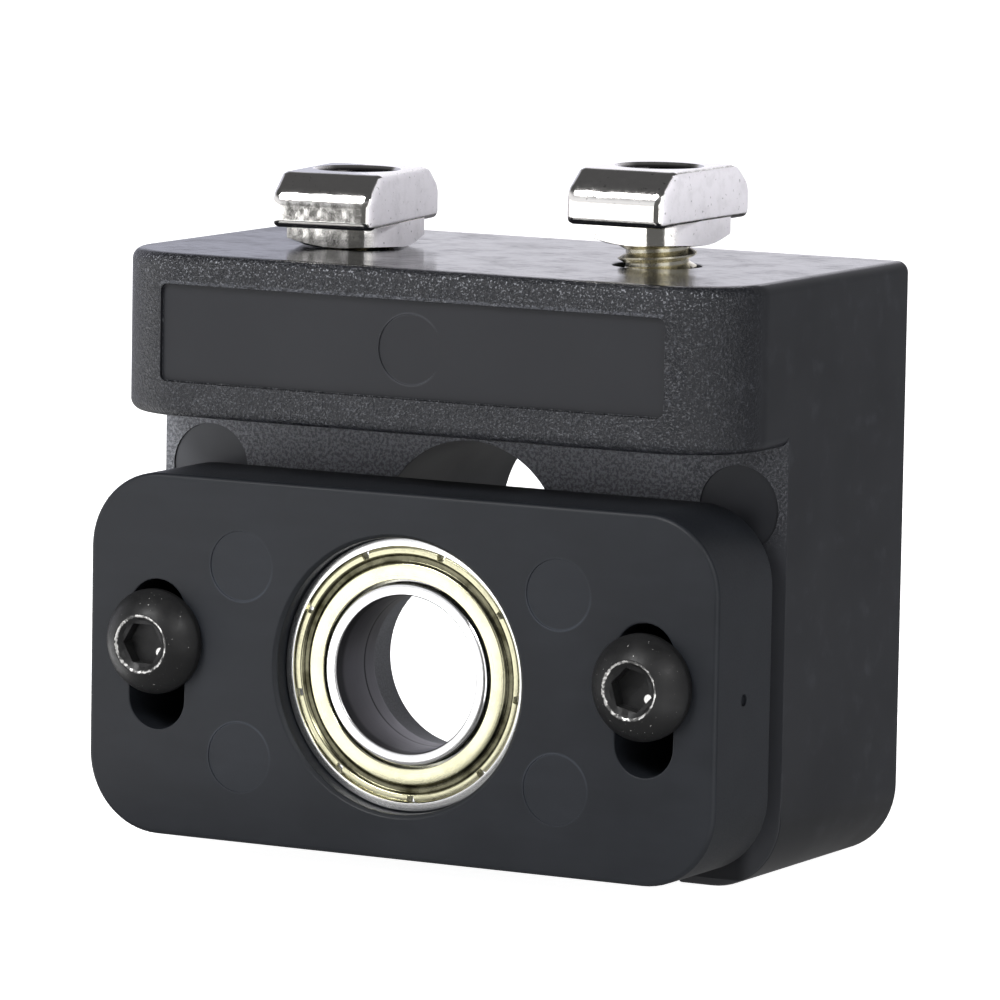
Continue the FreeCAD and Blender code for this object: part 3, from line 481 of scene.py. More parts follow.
def satin_plastic(looks):
    """Black moulding with a smooth satin face, painted highlights on the rims of its pin marks, and painted
    light in its hole.
    """
    f = Finish("satin_plastic", looks.plate_colour, 0.46, specular=0.26)
    flow = f.noise(6.0, 3.0, 0.55)
    fine = f.noise(0.10, 2.0, 0.6)
    streak = f.noise(1.0, 3.0, 0.6, f.joined(f.times(f.x, 0.25), f.y, f.z))
    f.give("Roughness", f.plus(f.span(flow, 0.3, 0.7, 0.43, 0.50), f.span(fine, 0.3, 0.7, -0.03, 0.03)))
    f.give("Normal", f.bump(fine, 0.0015 * MM, f.bump(flow, 0.010 * MM)))
    aside = f.minus(f.absolute(f.x), PLATE_MARK_X)
    above = f.minus(f.absolute(f.minus(f.z, BEARING_MIDDLE.z / MM)), PLATE_MARK_Z)
    away = f.apart(aside, above)
    # Painted highlights on the rim of each pin mark, strongest on the side towards the bearing, and a
    # slightly lighter inside
    ring = f.times(f.mark_outline(away), f.span(above, 0.6, -1.6, 0.25, 1.0), 0.75)
    inside = f.times(f.below(away, MARK_RADIUS), 0.12)
    marks = f.times(f.plus(ring, inside), f.below(f.y, PLATE_FRONT / MM + 0.1))
    cloudy = f.plus(f.span(flow, 0.35, 0.7, 0.0, 0.10), f.span(streak, 0.4, 0.7, 0.0, 0.06))
    plain = f.blend(f.plus(cloudy, marks), looks.plate_colour, dimmed(looks.plate_colour, 3.0))
    # Painted light on the wall of the plate's hole behind the bearing, which lies in shade
    behind = f.calc("GREATER_THAN", f.y, RACE_HIGH.y / MM + 0.02)
    hole = f.times(f.below(f.off_axis(), 5.2), behind, f.span(fine, 0.3, 0.7, 0.7, 1.0))
    f.give("Base Color", f.blend(hole, plain, looks.painted_light_colour))
    return f.material


def ground_steel(looks):
    """Bearing rings with fine turning lines round the axis, and a bore painted dark as shade."""
    f = Finish("ground_steel", looks.steel_colour, 0.16, 1.0)
    lines = f.lathe_lines(0.035)
    stain = f.noise(2.2, 3.0, 0.6)
    bore = f.span(f.off_axis(), 4.09, 4.03)
    rough = f.plus(f.span(lines, 0.3, 0.7, 0.10, 0.22), f.span(stain, 0.45, 0.75, 0.0, 0.08))
    f.give("Roughness", f.plus(rough, f.times(bore, 0.26)))
    f.give("Normal", f.bump(lines, 0.0006 * MM))
    face = f.blend(f.span(stain, 0.4, 0.75), looks.steel_colour, dimmed(looks.steel_colour, 0.86))
    # Painted shade in the bore: darkest near its front and along a thin line 2.9 mm in
    deep = f.minus(f.y, RACE_LOW.y / MM)
    dark = f.plus(f.span(deep, 0.9, 0.5, 0.0, 0.7), f.near(deep, 2.9, 0.07))
    shaded_bore = f.blend(dark, looks.bore_shade_colour, (0.03, 0.03, 0.032))
    f.give("Base Color", f.blend(bore, face, shaded_bore))
    return f.material


def polished_balls(looks):
    """Bearing balls with a faint film of oil."""
    f = Finish("polished_balls", looks.steel_colour, 0.06, 1.0)
    film = f.noise(0.5, 3.0, 0.6)
    f.give("Roughness", f.span(film, 0.4, 0.7, 0.04, 0.12))
    f.give("Base Color", f.blend(f.span(film, 0.4, 0.7), looks.steel_colour, dimmed(looks.steel_colour, 0.9)))
    return f.material


def pressed_cage(looks):
    """Pressed sheet of the ball cage."""
    f = Finish("pressed_cage", looks.cage_colour, 0.35, 1.0)
    film = f.noise(0.4, 3.0, 0.6)
    f.give("Roughness", f.span(film, 0.3, 0.7, 0.25, 0.45))
    f.give("Base Color", f.blend(f.span(film, 0.35, 0.7), looks.cage_colour, dimmed(looks.cage_colour, 0.75)))
    f.give("Normal", f.bump(film, 0.002 * MM))
    return f.material


def gold_shield(looks):
    """Pressed shield: pale gold rim and flat, olive dish, rolled lines round the axis."""
    f = Finish("gold_shield", looks.shield_colour, 0.22, 1.0)
    away = f.off_axis()
    lines = f.lathe_lines(0.05)
    haze = f.noise(1.3, 3.0, 0.6)
    dish = f.times(f.band(away, 5.56, 5.66, 6.07, 6.15), f.span(haze, 0.25, 0.7, 1.0, 0.8))
    rim = f.times(f.span(away, 6.08, 6.15), 0.30)
    pressed = f.blend(rim, looks.shield_colour, looks.dish_colour)
    f.give("Base Color", f.blend(dish, pressed, looks.dish_colour))
    f.give("Roughness", f.plus(f.span(lines, 0.3, 0.7, 0.16, 0.26), f.span(haze, 0.4, 0.7, 0.0, 0.08)))
    f.give("Normal", f.bump(lines, 0.0010 * MM))
    return f.material


def oiled_oxide(looks):
    """Black oxide with a thin ring rubbed bright at each socket's mouth, a few bright nicks, and a painted
    highlight on each socket's floor.
    """
    f = Finish("oiled_oxide", looks.oxide_colour, 0.42, 0.0, 0.27)

    def from_heads(aside=0.0, up=0.0):
        """Distance from the nearer screw's axis, or from a line beside it."""
        return f.least(*(f.radius(side * CLAMP_X / MM + aside, CLAMP_Z / MM + up) for side in (1, -1)))

    away = from_heads()
    head_front = CLAMP_LOW.y / MM
    patch = f.noise(0.45, 2.0, 0.6)
    nicks = f.noise(0.16, 2.0, 0.6)
    ragged = f.plus(away, f.span(nicks, 0.3, 0.7, -0.025, 0.025))
    rim = f.times(f.band(ragged, 1.36, 1.41, 1.47, 1.52), f.below(f.y, head_front + 0.12))
    ring = f.times(rim, f.span(patch, 0.43, 0.60, 0.08, 1.0))
    spots = f.times(f.band(away, 1.55, 1.7, 2.4, 2.6), f.span(nicks, 0.70, 0.76), 0.5)
    # Painted highlight: a bright spot on each socket's floor, below and to the right of its middle
    painted_glint = f.times(f.span(from_heads(0.55, -0.5), 0.26, 0.20), f.near(f.y, head_front + 1.06, 0.14))
    # worn also holds the painted highlight
    worn = f.most(ring, spots, painted_glint)
    f.give("Base Color", f.blend(worn, looks.oxide_colour, looks.wear_and_glint_colour))
    f.give("Metallic", f.times(worn, 0.9))
    f.give("Roughness", f.plus(f.span(patch, 0.3, 0.7, 0.38, 0.50), f.times(worn, -0.18)))
    f.give("Normal", f.bump(f.noise(0.12, 3.0, 0.6), 0.004 * MM))
    return f.material


def bright_zinc(looks):
    """Bright zinc on the profile screws and captive nuts."""
    f = Finish("bright_zinc", looks.zinc_colour, 0.25, 1.0)
    haze = f.noise(0.6, 3.0, 0.65)
    yellowed = [part * share for part, share in zip(looks.zinc_colour, (0.78, 0.75, 0.66))]
    f.give("Base Color", f.blend(f.span(haze, 0.4, 0.75), looks.zinc_colour, yellowed))
    f.give("Roughness", f.span(haze, 0.3, 0.7, 0.18, 0.34))
    f.give("Normal", f.bump(haze, 0.004 * MM))
    return f.material


def tumbled_nickel(looks):
    """Nickel plate: polished faces, pale matte sawn sides with dents and stains, and the threaded hole
    painted dark as shade.
    """
    f = Finish("tumbled_nickel", looks.nickel_colour, 0.2, 1.0)
    sawn = f.times(f.span(f.absolute(f.facing[0]), 0.60, 0.80), f.span(f.facing[2], -0.45, -0.15))
    away = f.apart(f.minus(f.absolute(f.x), PROFILE_X / MM), f.minus(f.y, PROFILE_Y / MM))
    # Painted shade on the wall of the threaded hole
    thread = f.span(away, 2.22, 2.08)
    wave = f.noise(1.6, 2.0, 0.5)
    pock = f.noise(0.28, 3.0, 0.65)
    pits = f.span(f.noise(0.22, 2.0, 0.5), 0.66, 0.74)
    cuts = f.noise(0.09, 2.0, 0.5, f.joined(f.times(f.x, 2.0), f.times(f.y, 0.06), f.z))
    stain = f.times(f.span(f.noise(0.9, 4.0, 0.65), 0.42, 0.72, 0.0, 0.9), sawn)
    plated = f.blend(sawn, looks.nickel_colour, looks.sawn_colour)
    stained = f.blend(stain, plated, dimmed(looks.sawn_colour, 0.87))
    f.give("Base Color", f.blend(f.most(f.times(pits, 0.55), thread), stained, (0.12, 0.115, 0.12)))
    f.give("Metallic", f.span(sawn, 0.0, 1.0, 1.0, 0.25, smooth=False))
    polished = f.plus(f.span(pock, 0.3, 0.75, 0.06, 0.16), f.span(wave, 0.4, 0.7, 0.0, 0.04))
    f.give("Roughness", f.mixed(sawn, polished, f.span(pock, 0.3, 0.7, 0.40, 0.52)))
    dents = f.bump(wave, 0.03 * MM)
    saw_marks = f.bump(f.times(cuts, sawn), 0.010 * MM, dents)
    f.give("Normal", f.bump(pock, 0.002 * MM, saw_marks))
    return f.material


def pale_floor(looks):
    """Plain pale floor, lit from below like a light table."""
    f = Finish("pale_floor", looks.floor_colour, 0.9, specular=0.0)
    cloud = f.noise(90.0, 2.0, 0.5)
    f.give("Base Color", f.blend(cloud, looks.floor_colour, dimmed(looks.floor_colour, 0.985)))
    f.give("Emission Color", (1.0, 1.0, 1.0, 1.0))
    f.give("Emission Strength", looks.floor_glow)
    return f.material


def studio_card(name, tone, strength):
    """A card that only shows in reflections."""
    f = Finish(name, (0.0, 0.0, 0.0), 1.0, specular=0.0)
    f.give("Emission Color", (*tone, 1.0))
    f.give("Emission Strength", strength)
    return f.material


def linked_object(name, contents):
    """A new object at the origin, in the scene."""
    made = bpy.data.objects.new(name, contents)
    bpy.context.scene.collection.objects.link(made)
    return made


def discard(maker):
    """Deletes a helper object and its mesh."""
    spent = maker.data
    bpy.data.objects.remove(maker)
    bpy.data.meshes.remove(spent)


def mesh_of(bm, name):
    """Turns a bmesh into a mesh as it is."""
    mesh = bpy.data.meshes.new(name)
    bm.to_mesh(mesh)
    bm.free()
    return mesh


def closed_mesh(bm, name):
    """Turns a bmesh into a mesh with its doubles merged and its faces outwards."""
    bmesh.ops.remove_doubles(bm, verts=bm.verts, dist=MERGE)
    bmesh.ops.recalc_face_normals(bm, faces=bm.faces)
    return mesh_of(bm, name)


def add_piece(name, mesh, body, nodes, material, crease=TURNED_CREASE):
    """Puts a mesh on its body in place of CAD nodes. With no crease angle it keeps its own normals."""
    mesh.materials.clear()
    mesh.materials.append(material)
    if crease:
        mesh.shade_smooth()
        mesh.set_sharp_from_angle(angle=math.radians(crease))
    piece = linked_object(name, mesh)
    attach(piece, body)
    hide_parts(*nodes)


def dress_node(node, material):
    """Gives a CAD node that stays a better material."""
    for slot in bpy.data.objects[node].material_slots:
        slot.material = material


def plain_mesh(maker):
    """The evaluated mesh of an object, which is then deleted."""
    depsgraph = bpy.context.evaluated_depsgraph_get()
    mesh = bpy.data.meshes.new_from_object(maker.evaluated_get(depsgraph))
    discard(maker)
    return mesh


def grown(tree, mesh, sizes):
    """Runs a node tree on a mesh with its inputs set, and gives the plain mesh."""
    maker = linked_object("maker", mesh)
    modifier = maker.modifiers.new("tree", "NODES")
    modifier.node_group = tree
    sockets = {item.name: item.identifier for item in tree.interface.items_tree if item.in_out == "INPUT"}
    for name, size in sizes.items():
        modifier[sockets[name]] = size
    made = plain_mesh(maker)
    bm = bmesh.new()
    bm.from_mesh(made)
    bpy.data.meshes.remove(made)
    return closed_mesh(bm, tree.name)


def new_tree(name, sockets):
    """An empty geometry tree with named inputs; gives its nodes, its inputs and its output node."""
    tree = bpy.data.node_groups.new(name, "GeometryNodeTree")
    tree.interface.new_socket("Geometry", in_out="INPUT", socket_type="NodeSocketGeometry")
    for label, kind in sockets.items():
        tree.interface.new_socket(label, in_out="INPUT", socket_type=f"NodeSocket{kind}")
    tree.interface.new_socket("Material", in_out="INPUT", socket_type="NodeSocketMaterial")
    tree.interface.new_socket("Geometry", in_out="OUTPUT", socket_type="NodeSocketGeometry")
    n = Nodes(tree)
    given = n.add("NodeGroupInput").outputs
    return n, given, n.add("NodeGroupOutput")


def close_tree(n, given, out, points, shape, turn):
    """Ends a tree with a turned shape at each point, made real, its seams merged and its material set."""
    copies = n.made("GeometryNodeInstanceOnPoints", {"Points": points, "Instance": shape, "Rotation": turn})
    real = n.made("GeometryNodeRealizeInstances", {0: copies})
    merged = n.made("GeometryNodeMergeByDistance", {"Geometry": real, "Distance": MERGE})
    dressed = n.made("GeometryNodeSetMaterial", {"Geometry": merged, "Material": given["Material"]})
    n.feed(out.inputs[0], dressed)
    return n.tree


def round_pattern():
    """Tree that repeats a shape evenly round the Y axis."""
    n, given, out = new_tree("round_pattern", {"Count": "Int", "Start": "Float"})
    points = n.made("GeometryNodePoints", {"Count": given["Count"]})
    step = n.calc("DIVIDE", math.tau, given["Count"])
    angle = n.plus(n.times(n.made("GeometryNodeInputIndex"), step), given["Start"])
    turn = n.made("FunctionNodeEulerToRotation", {0: n.joined(0.0, n.times(angle, -1.0), 0.0)})
    return close_tree(n, given, out, points, given["Geometry"], turn)


def screw_pair():
    """Tree that cuts a thread on a screw's head and sets two screws side by side."""
    n, given, out = new_tree("screw_pair", {
        "Radius": "Float", "Core": "Float", "Pitch": "Float", "Reach": "Float", "Tip": "Float",
        "Steps": "Int", "Rows": "Int", "Spacing": "Float", "Turn": "Float"})
    reach, core = given["Reach"], given["Core"]
    grid = n.made("GeometryNodeMeshGrid", {
        "Size X": 1.0, "Size Y": 1.0, "Vertices X": n.plus(given["Steps"], 1.0), "Vertices Y": given["Rows"]})

    # Four rows of the grid make one pitch: root, crest, crest, root
    spot = n.split(n.made("GeometryNodeInputPosition"))
    share = n.plus(spot[0], 0.5)
    row = n.calc("ROUND", n.times(n.plus(spot[1], 0.5), n.minus(given["Rows"], 1.0)))
    phase = n.minus(n.calc("MODULO", row, 4.0), 1.5)
    crest = n.below(n.absolute(phase), 1.0)
    spread = n.minus(0.25, n.times(crest, 0.125))
    within = n.plus(0.375, n.times(phase, spread))
    whole_turns = n.calc("FLOOR", n.calc("DIVIDE", n.plus(row, 0.5), 4.0))
    turns = n.plus(whole_turns, within, n.minus(share, 1.0))
    height = n.least(n.most(n.times(turns, given["Pitch"]), 0.0), reach)

    # The thread runs out at the head and at the tip
    full = n.plus(core, n.times(crest, n.minus(given["Radius"], core)))
    radius = n.least(full, n.plus(core, height), n.plus(given["Tip"], n.minus(reach, height)))
    angle = n.times(share, math.tau)
    place = n.joined(n.times(radius, n.calc("COSINE", angle)), n.times(radius, n.calc("SINE", angle)), height)
    thread = n.made("GeometryNodeSetPosition", {"Geometry": grid, "Position": place})
    circle = {"Vertices": given["Steps"], "Radius": given["Tip"]}
    disc = n.made("GeometryNodeMeshCircle", circle, fill_type="NGON")
    end = n.made("GeometryNodeTransform", {"Geometry": disc, "Translation": n.joined(0.0, 0.0, reach)})
    whole = n.add("GeometryNodeJoinGeometry")
    for part in (end, thread, given["Geometry"]):
        n.feed(whole.inputs[0], part)

    # The second screw stands to the right of the first, turned
    half = n.calc("DIVIDE", given["Spacing"], 2.0)
    line = n.made("GeometryNodeMeshLine", {
        "Count": 2, "Start Location": n.joined(n.times(half, -1.0), 0.0, 0.0),
        "Offset": n.joined(given["Spacing"], 0.0, 0.0)})
    second = n.times(n.made("GeometryNodeInputIndex"), given["Turn"])
    turn = n.made("FunctionNodeEulerToRotation", {0: n.joined(0.0, 0.0, second)})
    return close_tree(n, given, out, line, whole.outputs[0], turn)


def eased(corners, radius, closed=True):
    """Rounds the corners of a profile of (radius, height) points."""
    points = [Vector(corner) for corner in corners]
    rounded = []
    for number, corner in enumerate(points):
        if not closed and number in (0, len(points) - 1):
            rounded.append(corner)
            continue
        before = points[number - 1]
        after = points[(number + 1) % len(points)]
        room = min(radius, 0.42 * (before - corner).length, 0.42 * (after - corner).length)
        start = corner + (before - corner).normalized() * room
        end = corner + (after - corner).normalized() * room
        for share in (0.0, 0.33, 0.67, 1.0):
            rounded.append(start.lerp(corner, share).lerp(corner.lerp(end, share), share))
    return [tuple(point) for point in rounded]


def arc(middle, radius, start, end, count):
    """Points on an arc, in degrees."""
    spots = []
    for number in range(count + 1):
        angle = math.radians(start + (end - start) * number / count)
        spots.append((middle[0] + radius * math.cos(angle), middle[1] + radius * math.sin(angle)))
    return spots


def turned(bm, profile, steps, closed=True, sweep=math.tau, scale=MM):
    """Turns a profile of (radius, height) points about Z; either may be a function of the angle."""
    whole = abs(sweep - math.tau) < 1e-6
    count = steps if whole else steps + 1
    rings = []
    for radius, height in profile:
        ring = []
        for number in range(count):
            angle = sweep * number / steps
            far = radius(angle) if callable(radius) else radius
            high = height(angle) if callable(height) else height
            spot = Vector((far * math.cos(angle), far * math.sin(angle), high)) * scale
            ring.append(bm.verts.new(spot))
        rings.append(ring)
    followers = rings[1:] + rings[:1] if closed else rings[1:]
    for low, high in zip(rings, followers):
        for number in range(steps):
            after = (number + 1) % count
            bm.faces.new((low[number], low[after], high[after], high[number]))
    return rings


def weighted_rounding(maker, width, segments):
    """Adds a rounding that follows the weights of an object's edges."""
    rounding = maker.modifiers.new("edges", "BEVEL")
    rounding.limit_method = "WEIGHT"
    rounding.width = width
    rounding.segments = segments
    rounding.use_clamp_overlap = False


def rounded_copy(node, edge, spare=None, hold=None):
    """A copy of a CAD node with its sharp edges rounded, apart from those spared, and its corners held."""
    bm = bmesh.new()
    bm.from_mesh(bpy.data.objects[node].data)
    bmesh.ops.remove_doubles(bm, verts=bm.verts, dist=MERGE)
    bmesh.ops.dissolve_limit(bm, angle_limit=math.radians(1.0), verts=bm.verts, edges=bm.edges)
    weights = bm.edges.layers.float.new("bevel_weight_edge")
    for line, width in rounding_widths(bm, edge, spare).items():
        line[weights] = width / edge
    maker = linked_object("maker", mesh_of(bm, node))
    weighted_rounding(maker, edge, 2)
    mesh = plain_mesh(maker)
    for vert in mesh.vertices if hold else ():
        hold(vert.co)
    return flat_shaded(mesh)


def rounding_widths(bm, edge, spare):
    """The width of each sharp edge's rounding, which is at most a share of its faces' reach."""
    most_share = 0.2
    widths = {}
    for line in bm.edges:
        if not line.is_manifold or line.calc_face_angle() < math.radians(SHARP_EDGE):
            continue
        if spare and any(spare(end.co) for end in line.verts):
            continue
        start = line.verts[0].co
        along = (line.verts[1].co - start).normalized()
        widths[line] = edge
        for face in line.link_faces:
            reach = max((v.co - start - along * along.dot(v.co - start)).length for v in face.verts)
            widths[line] = min(widths[line], most_share * reach)
    even_chains(widths)
    return widths


def even_chains(widths):
    """Gives edges that run on into each other their least width: a rounding folds where it narrows."""
    left = set(widths)
    while left:
        chain = [left.pop()]
        for line in chain:
            for vert in line.verts:
                way = vert.co - line.other_vert(vert).co
                for other in vert.link_edges:
                    if other in left and way.angle(other.other_vert(vert).co - vert.co) < math.radians(45):
                        left.remove(other)
                        chain.append(other)
        least = min(widths[line] for line in chain)
        for line in chain:
            widths[line] = least


def flat_regions(bm):
    """The number of each face's flat region, and each region's normal scaled by its area."""
    bm.faces.index_update()
    region = {}
    ways = []
    for first in bm.faces:
        if first.index in region:
            continue
        region[first.index] = len(ways)
        waiting = [first]
        total = Vector()
        while waiting:
            face = waiting.pop()
            total += face.normal * face.calc_area()
            for other in {near for line in face.edges for near in line.link_faces}:
                if other.index not in region and other.normal.dot(first.normal) > SAME_FLAT:
                    region[other.index] = len(ways)
                    waiting.append(other)
        ways.append(total)
    return region, ways


def flat_shaded(mesh):
    """Normals that keep a mesh's flats flat, and turn smoothly over every edge below the crease angle."""
    bm = bmesh.new()
    bm.from_mesh(mesh)
    bmesh.ops.dissolve_degenerate(bm, dist=MERGE, edges=bm.edges)
    bmesh.ops.connect_verts_concave(bm, faces=bm.faces)
    bm.normal_update()
    for face in bm.faces:
        face.smooth = True
    for line in bm.edges:
        line.smooth = line.is_manifold and line.calc_face_angle() < math.radians(SOFT_CREASE)
    region, ways = flat_regions(bm)
    normals = {}
    for vert in bm.verts:
        left = set(vert.link_faces)
        while left:
            waiting = [left.pop()]
            fan = list(waiting)
            while waiting:
                face = waiting.pop()
                for line in set(face.edges) & set(vert.link_edges):
                    for other in line.link_faces if line.smooth else ():
                        if other in left:
                            left.remove(other)
                            fan.append(other)
                            waiting.append(other)
            shares = [ways[number] for number in {region[face.index] for face in fan}]
            most = max(way.length for way in shares)
            total = sum((way * way.length / most ** 2 for way in shares), Vector())
            for face in fan:
                normals[face.index, vert.index] = total.normalized()
    corners = [normals[face.index, vert.index] for face in bm.faces for vert in face.verts]
    bm.to_mesh(mesh)
    bm.free()
    mesh.normals_split_custom_set(corners)
    return mesh


class SUPPORT_OT_block(bpy.types.Operator):
    """Make the moulded block with softened edges and a spark texture"""

    bl_idname = "support.block"
    bl_label = "Moulded block"

    def execute(self, context):
        looks = context.scene.support_moulding
        wall_front = WALL_FRONT * MM

        def rounding_ends(spot):
            """True where the head's rounded underside runs out on the wall's side."""
            on_side = abs(spot.x) > SIDE_START * MM and abs(spot.y - wall_front) < 0.3 * MM
            return on_side and HEAD_LOW * MM < spot.z < HEAD_ROUNDING_TOP * MM

        def behind_front(spot):
            """Holds a corner of the wall's openings behind the wall's front."""
            if spot.z < WALL_TOP * MM:
                spot.y = max(spot.y, wall_front)

        mesh = rounded_copy("main_block", looks.edge, rounding_ends, behind_front)
        spark_plastic = SparkFinish(looks).material
        add_piece("block_moulding", mesh, "block", ("main_block",), spark_plastic, None)
        return {"FINISHED"}


class SUPPORT_OT_plate(bpy.types.Operator):
    """Make the bearing plate with softened edges and a satin finish"""

    bl_idname = "support.plate"
    bl_label = "Bearing plate"

    def execute(self, context):
        looks = context.scene.support_moulding
        mesh = rounded_copy("bearing_plate", looks.edge)
        satin = satin_plastic(looks)
        add_piece("plate_moulding", mesh, "plate", ("bearing_plate",), satin, None)
        return {"FINISHED"}


def race_sections(looks):
    """Sections of the outer and the inner ring, as (radius, height) points in millimetres."""
    groove = looks.ball_width / MM / 2 + 0.03
    circle = looks.ball_circle / MM / 2
    half = BEARING_WIDTH / MM / 2
    outside, seat, land = 7.0, 6.53, 6.05
    step = half - 0.45
    bite = math.degrees(math.asin((land - circle) / groove))
    outer = (
        eased([(seat, -half), (outside, -half), (outside, half), (seat, half), (seat, step), (land, step)],
              0.19, closed=False)
        + arc((circle, 0.0), groove, 90 - bite, bite - 90, 16)
        + eased([(land, -step), (seat, -step), (seat, -half)], 0.06, closed=False)[:-1])
    bore, shoulder, land = 4.0, 4.63, 4.95
    step = half - 0.5
    bite = math.degrees(math.asin((circle - land) / groove))
    inner = (
        eased([(land, -step), (shoulder, -step), (shoulder, -half), (bore, -half), (bore, half),
               (shoulder, half), (shoulder, step), (land, step)], 0.16, closed=False)
        + arc((circle, 0.0), groove, 90 + bite, 270 - bite, 16))
    return outer, inner


class SUPPORT_OT_rings(bpy.types.Operator):
    """Turn the bearing's outer and inner rings"""

    bl_idname = "support.rings"
    bl_label = "Bearing rings"

    def execute(self, context):
        looks = context.scene.support_bearing
        steel = ground_steel(looks)
        outer, inner = race_sections(looks)
        for side, section, body in (("outer", outer, "plate"), ("inner", inner, "inner_ring")):
            bm = bmesh.new()
            turned(bm, section, 144)
            mesh = closed_mesh(bm, f"{side}_race")
            mesh.transform(Matrix.Translation(BEARING_MIDDLE) @ TO_DEPTH)
            add_piece(f"{side}_race", mesh, body, (f"bearing_{side}_ring",), steel)
        return {"FINISHED"}


def shield_sector(looks):
    """One notch's share of a shield, its face towards -Z, with the notch in its middle."""
    section = eased([
        (4.82, 0.10), (5.58, 0.10), (5.74, 0.27), (6.00, 0.27), (6.13, 0.10), (6.41, 0.10), (6.51, 0.20),
        (6.51, 0.45), (5.84, 0.45), (5.60, 0.26), (4.82, 0.26)], 0.05)
    notch_floor = 6.16
    half_notch = looks.notch_width / 2 / (6.4 * MM)
    sweep = math.tau / looks.notch_count

    def notched(radius):
        """The rim's radius, held back at the notch."""
        def at(angle):
            inside = abs(angle - sweep / 2) < half_notch
            return min(radius, notch_floor) if inside else radius
        return at

    bm = bmesh.new()
    turned(bm, [(notched(radius), height) for radius, height in section], 80, sweep=sweep)
    bmesh.ops.remove_doubles(bm, verts=bm.verts, dist=MERGE)
    return mesh_of(bm, "shield_sector")


class SUPPORT_OT_shields(bpy.types.Operator):
    """Press the two notched shields and set them in the outer ring"""

    bl_idname = "support.shields"
    bl_label = "Bearing shields"

    def execute(self, context):
        looks = context.scene.support_bearing
        gold = gold_shield(looks)
        tree = round_pattern()
        start = looks.notch_turn - math.pi / looks.notch_count
        for side, turn in (("front", 0.0), ("rear", math.pi)):
            mesh = shield_sector(looks)
            mesh.transform(Matrix.Translation((0, -BEARING_WIDTH / 2, 0)) @ TO_DEPTH)
            made = grown(tree, mesh, {"Count": looks.notch_count, "Start": start, "Material": gold})
            made.transform(Matrix.Translation(BEARING_MIDDLE) @ Matrix.Rotation(turn, 4, "X"))
            add_piece(f"{side}_shield", made, "plate", (f"bearing_{side}_shield",), gold)
        return {"FINISHED"}


class SUPPORT_OT_balls(bpy.types.Operator):
    """Set the balls round the bearing and finish their cage"""

    bl_idname = "support.balls"
    bl_label = "Balls and cage"

    def execute(self, context):
        looks = context.scene.support_bearing
        steel = polished_balls(looks)
        bm = bmesh.new()
        bmesh.ops.create_uvsphere(bm, u_segments=40, v_segments=20, radius=looks.ball_width / 2)
        bmesh.ops.translate(bm, verts=bm.verts, vec=(looks.ball_circle / 2, 0, 0))
        sizes = {"Count": looks.ball_count, "Start": 0.0, "Material": steel}
        mesh = grown(round_pattern(), mesh_of(bm, "ball"), sizes)
        mesh.transform(Matrix.Translation(BEARING_MIDDLE))
        add_piece("ball_set", mesh, "ball_train", ("bearing_balls",), steel, BALL_CREASE)
        dress_node("bearing_cage", pressed_cage(looks))
        return {"FINISHED"}


def hexagon(flats):
    """Radius of a hexagonal socket at an angle."""
    def at(angle):
        off = (angle % (math.pi / 3)) - math.pi / 6
        return flats / 2 / math.cos(off)
    return at


def thread_sizes(thread, pitch, reach, steps):
    """Inputs of the screw tree for one thread."""
    core_share, tip_share = 0.57, 0.62
    return {
        "Radius": thread / 2, "Core": thread / 2 - core_share * pitch, "Pitch": pitch, "Reach": reach,
        "Tip": thread / 2 - tip_share * pitch, "Steps": steps, "Rows": int((reach / pitch + 2) * 4) + 1}


def threaded_pair(head, sizes, spacing, turn, material):
    """Two screws side by side along X, each with a head of the given profile."""
    bm = bmesh.new()
    rings = turned(bm, [(sizes["Core"] / MM, 0.0)] + head, sizes["Steps"], closed=False)
    bm.faces.new(rings[-1])
    return grown(screw_pair(), closed_mesh(bm, "screw_head"), {
        **sizes, "Spacing": spacing, "Turn": turn, "Material": material})


class SUPPORT_OT_clamp_screws(bpy.types.Operator):
    """Turn the two button-head clamp screws with their threads"""

    bl_idname = "support.clamp_screws"
    bl_label = "Clamp screws"

    def execute(self, context):
        looks = context.scene.support_screws
        oxide = oiled_oxide(looks)
        dome = arc((0.0, 0.93), 3.01, -26.2, -59.0, 10)
        socket = hexagon(2.0)
        head = (
            eased([(2.5, 0.0), (2.7, 0.0), dome[0], dome[1]], 0.12, closed=False)
            + dome[2:]
            + [(1.48, -1.65), (1.42, -1.62), (1.20, -1.40)]
            + [(socket, -1.36), (socket, -0.62), (0.5, -0.56), (0.02, -0.50)])
        sizes = thread_sizes(looks.clamp_thread, looks.clamp_pitch, looks.clamp_reach, 60)
        mesh = threaded_pair(head, sizes, 2 * CLAMP_X, looks.clamp_turn, oxide)
        mesh.transform(Matrix.Translation((0, CLAMP_HIGH.y - looks.clamp_reach, CLAMP_Z)) @ TO_DEPTH)
        nodes = ("clamp_screw_left", "clamp_screw_right")
        add_piece("clamp_screws", mesh, "block", nodes, oxide)
        return {"FINISHED"}


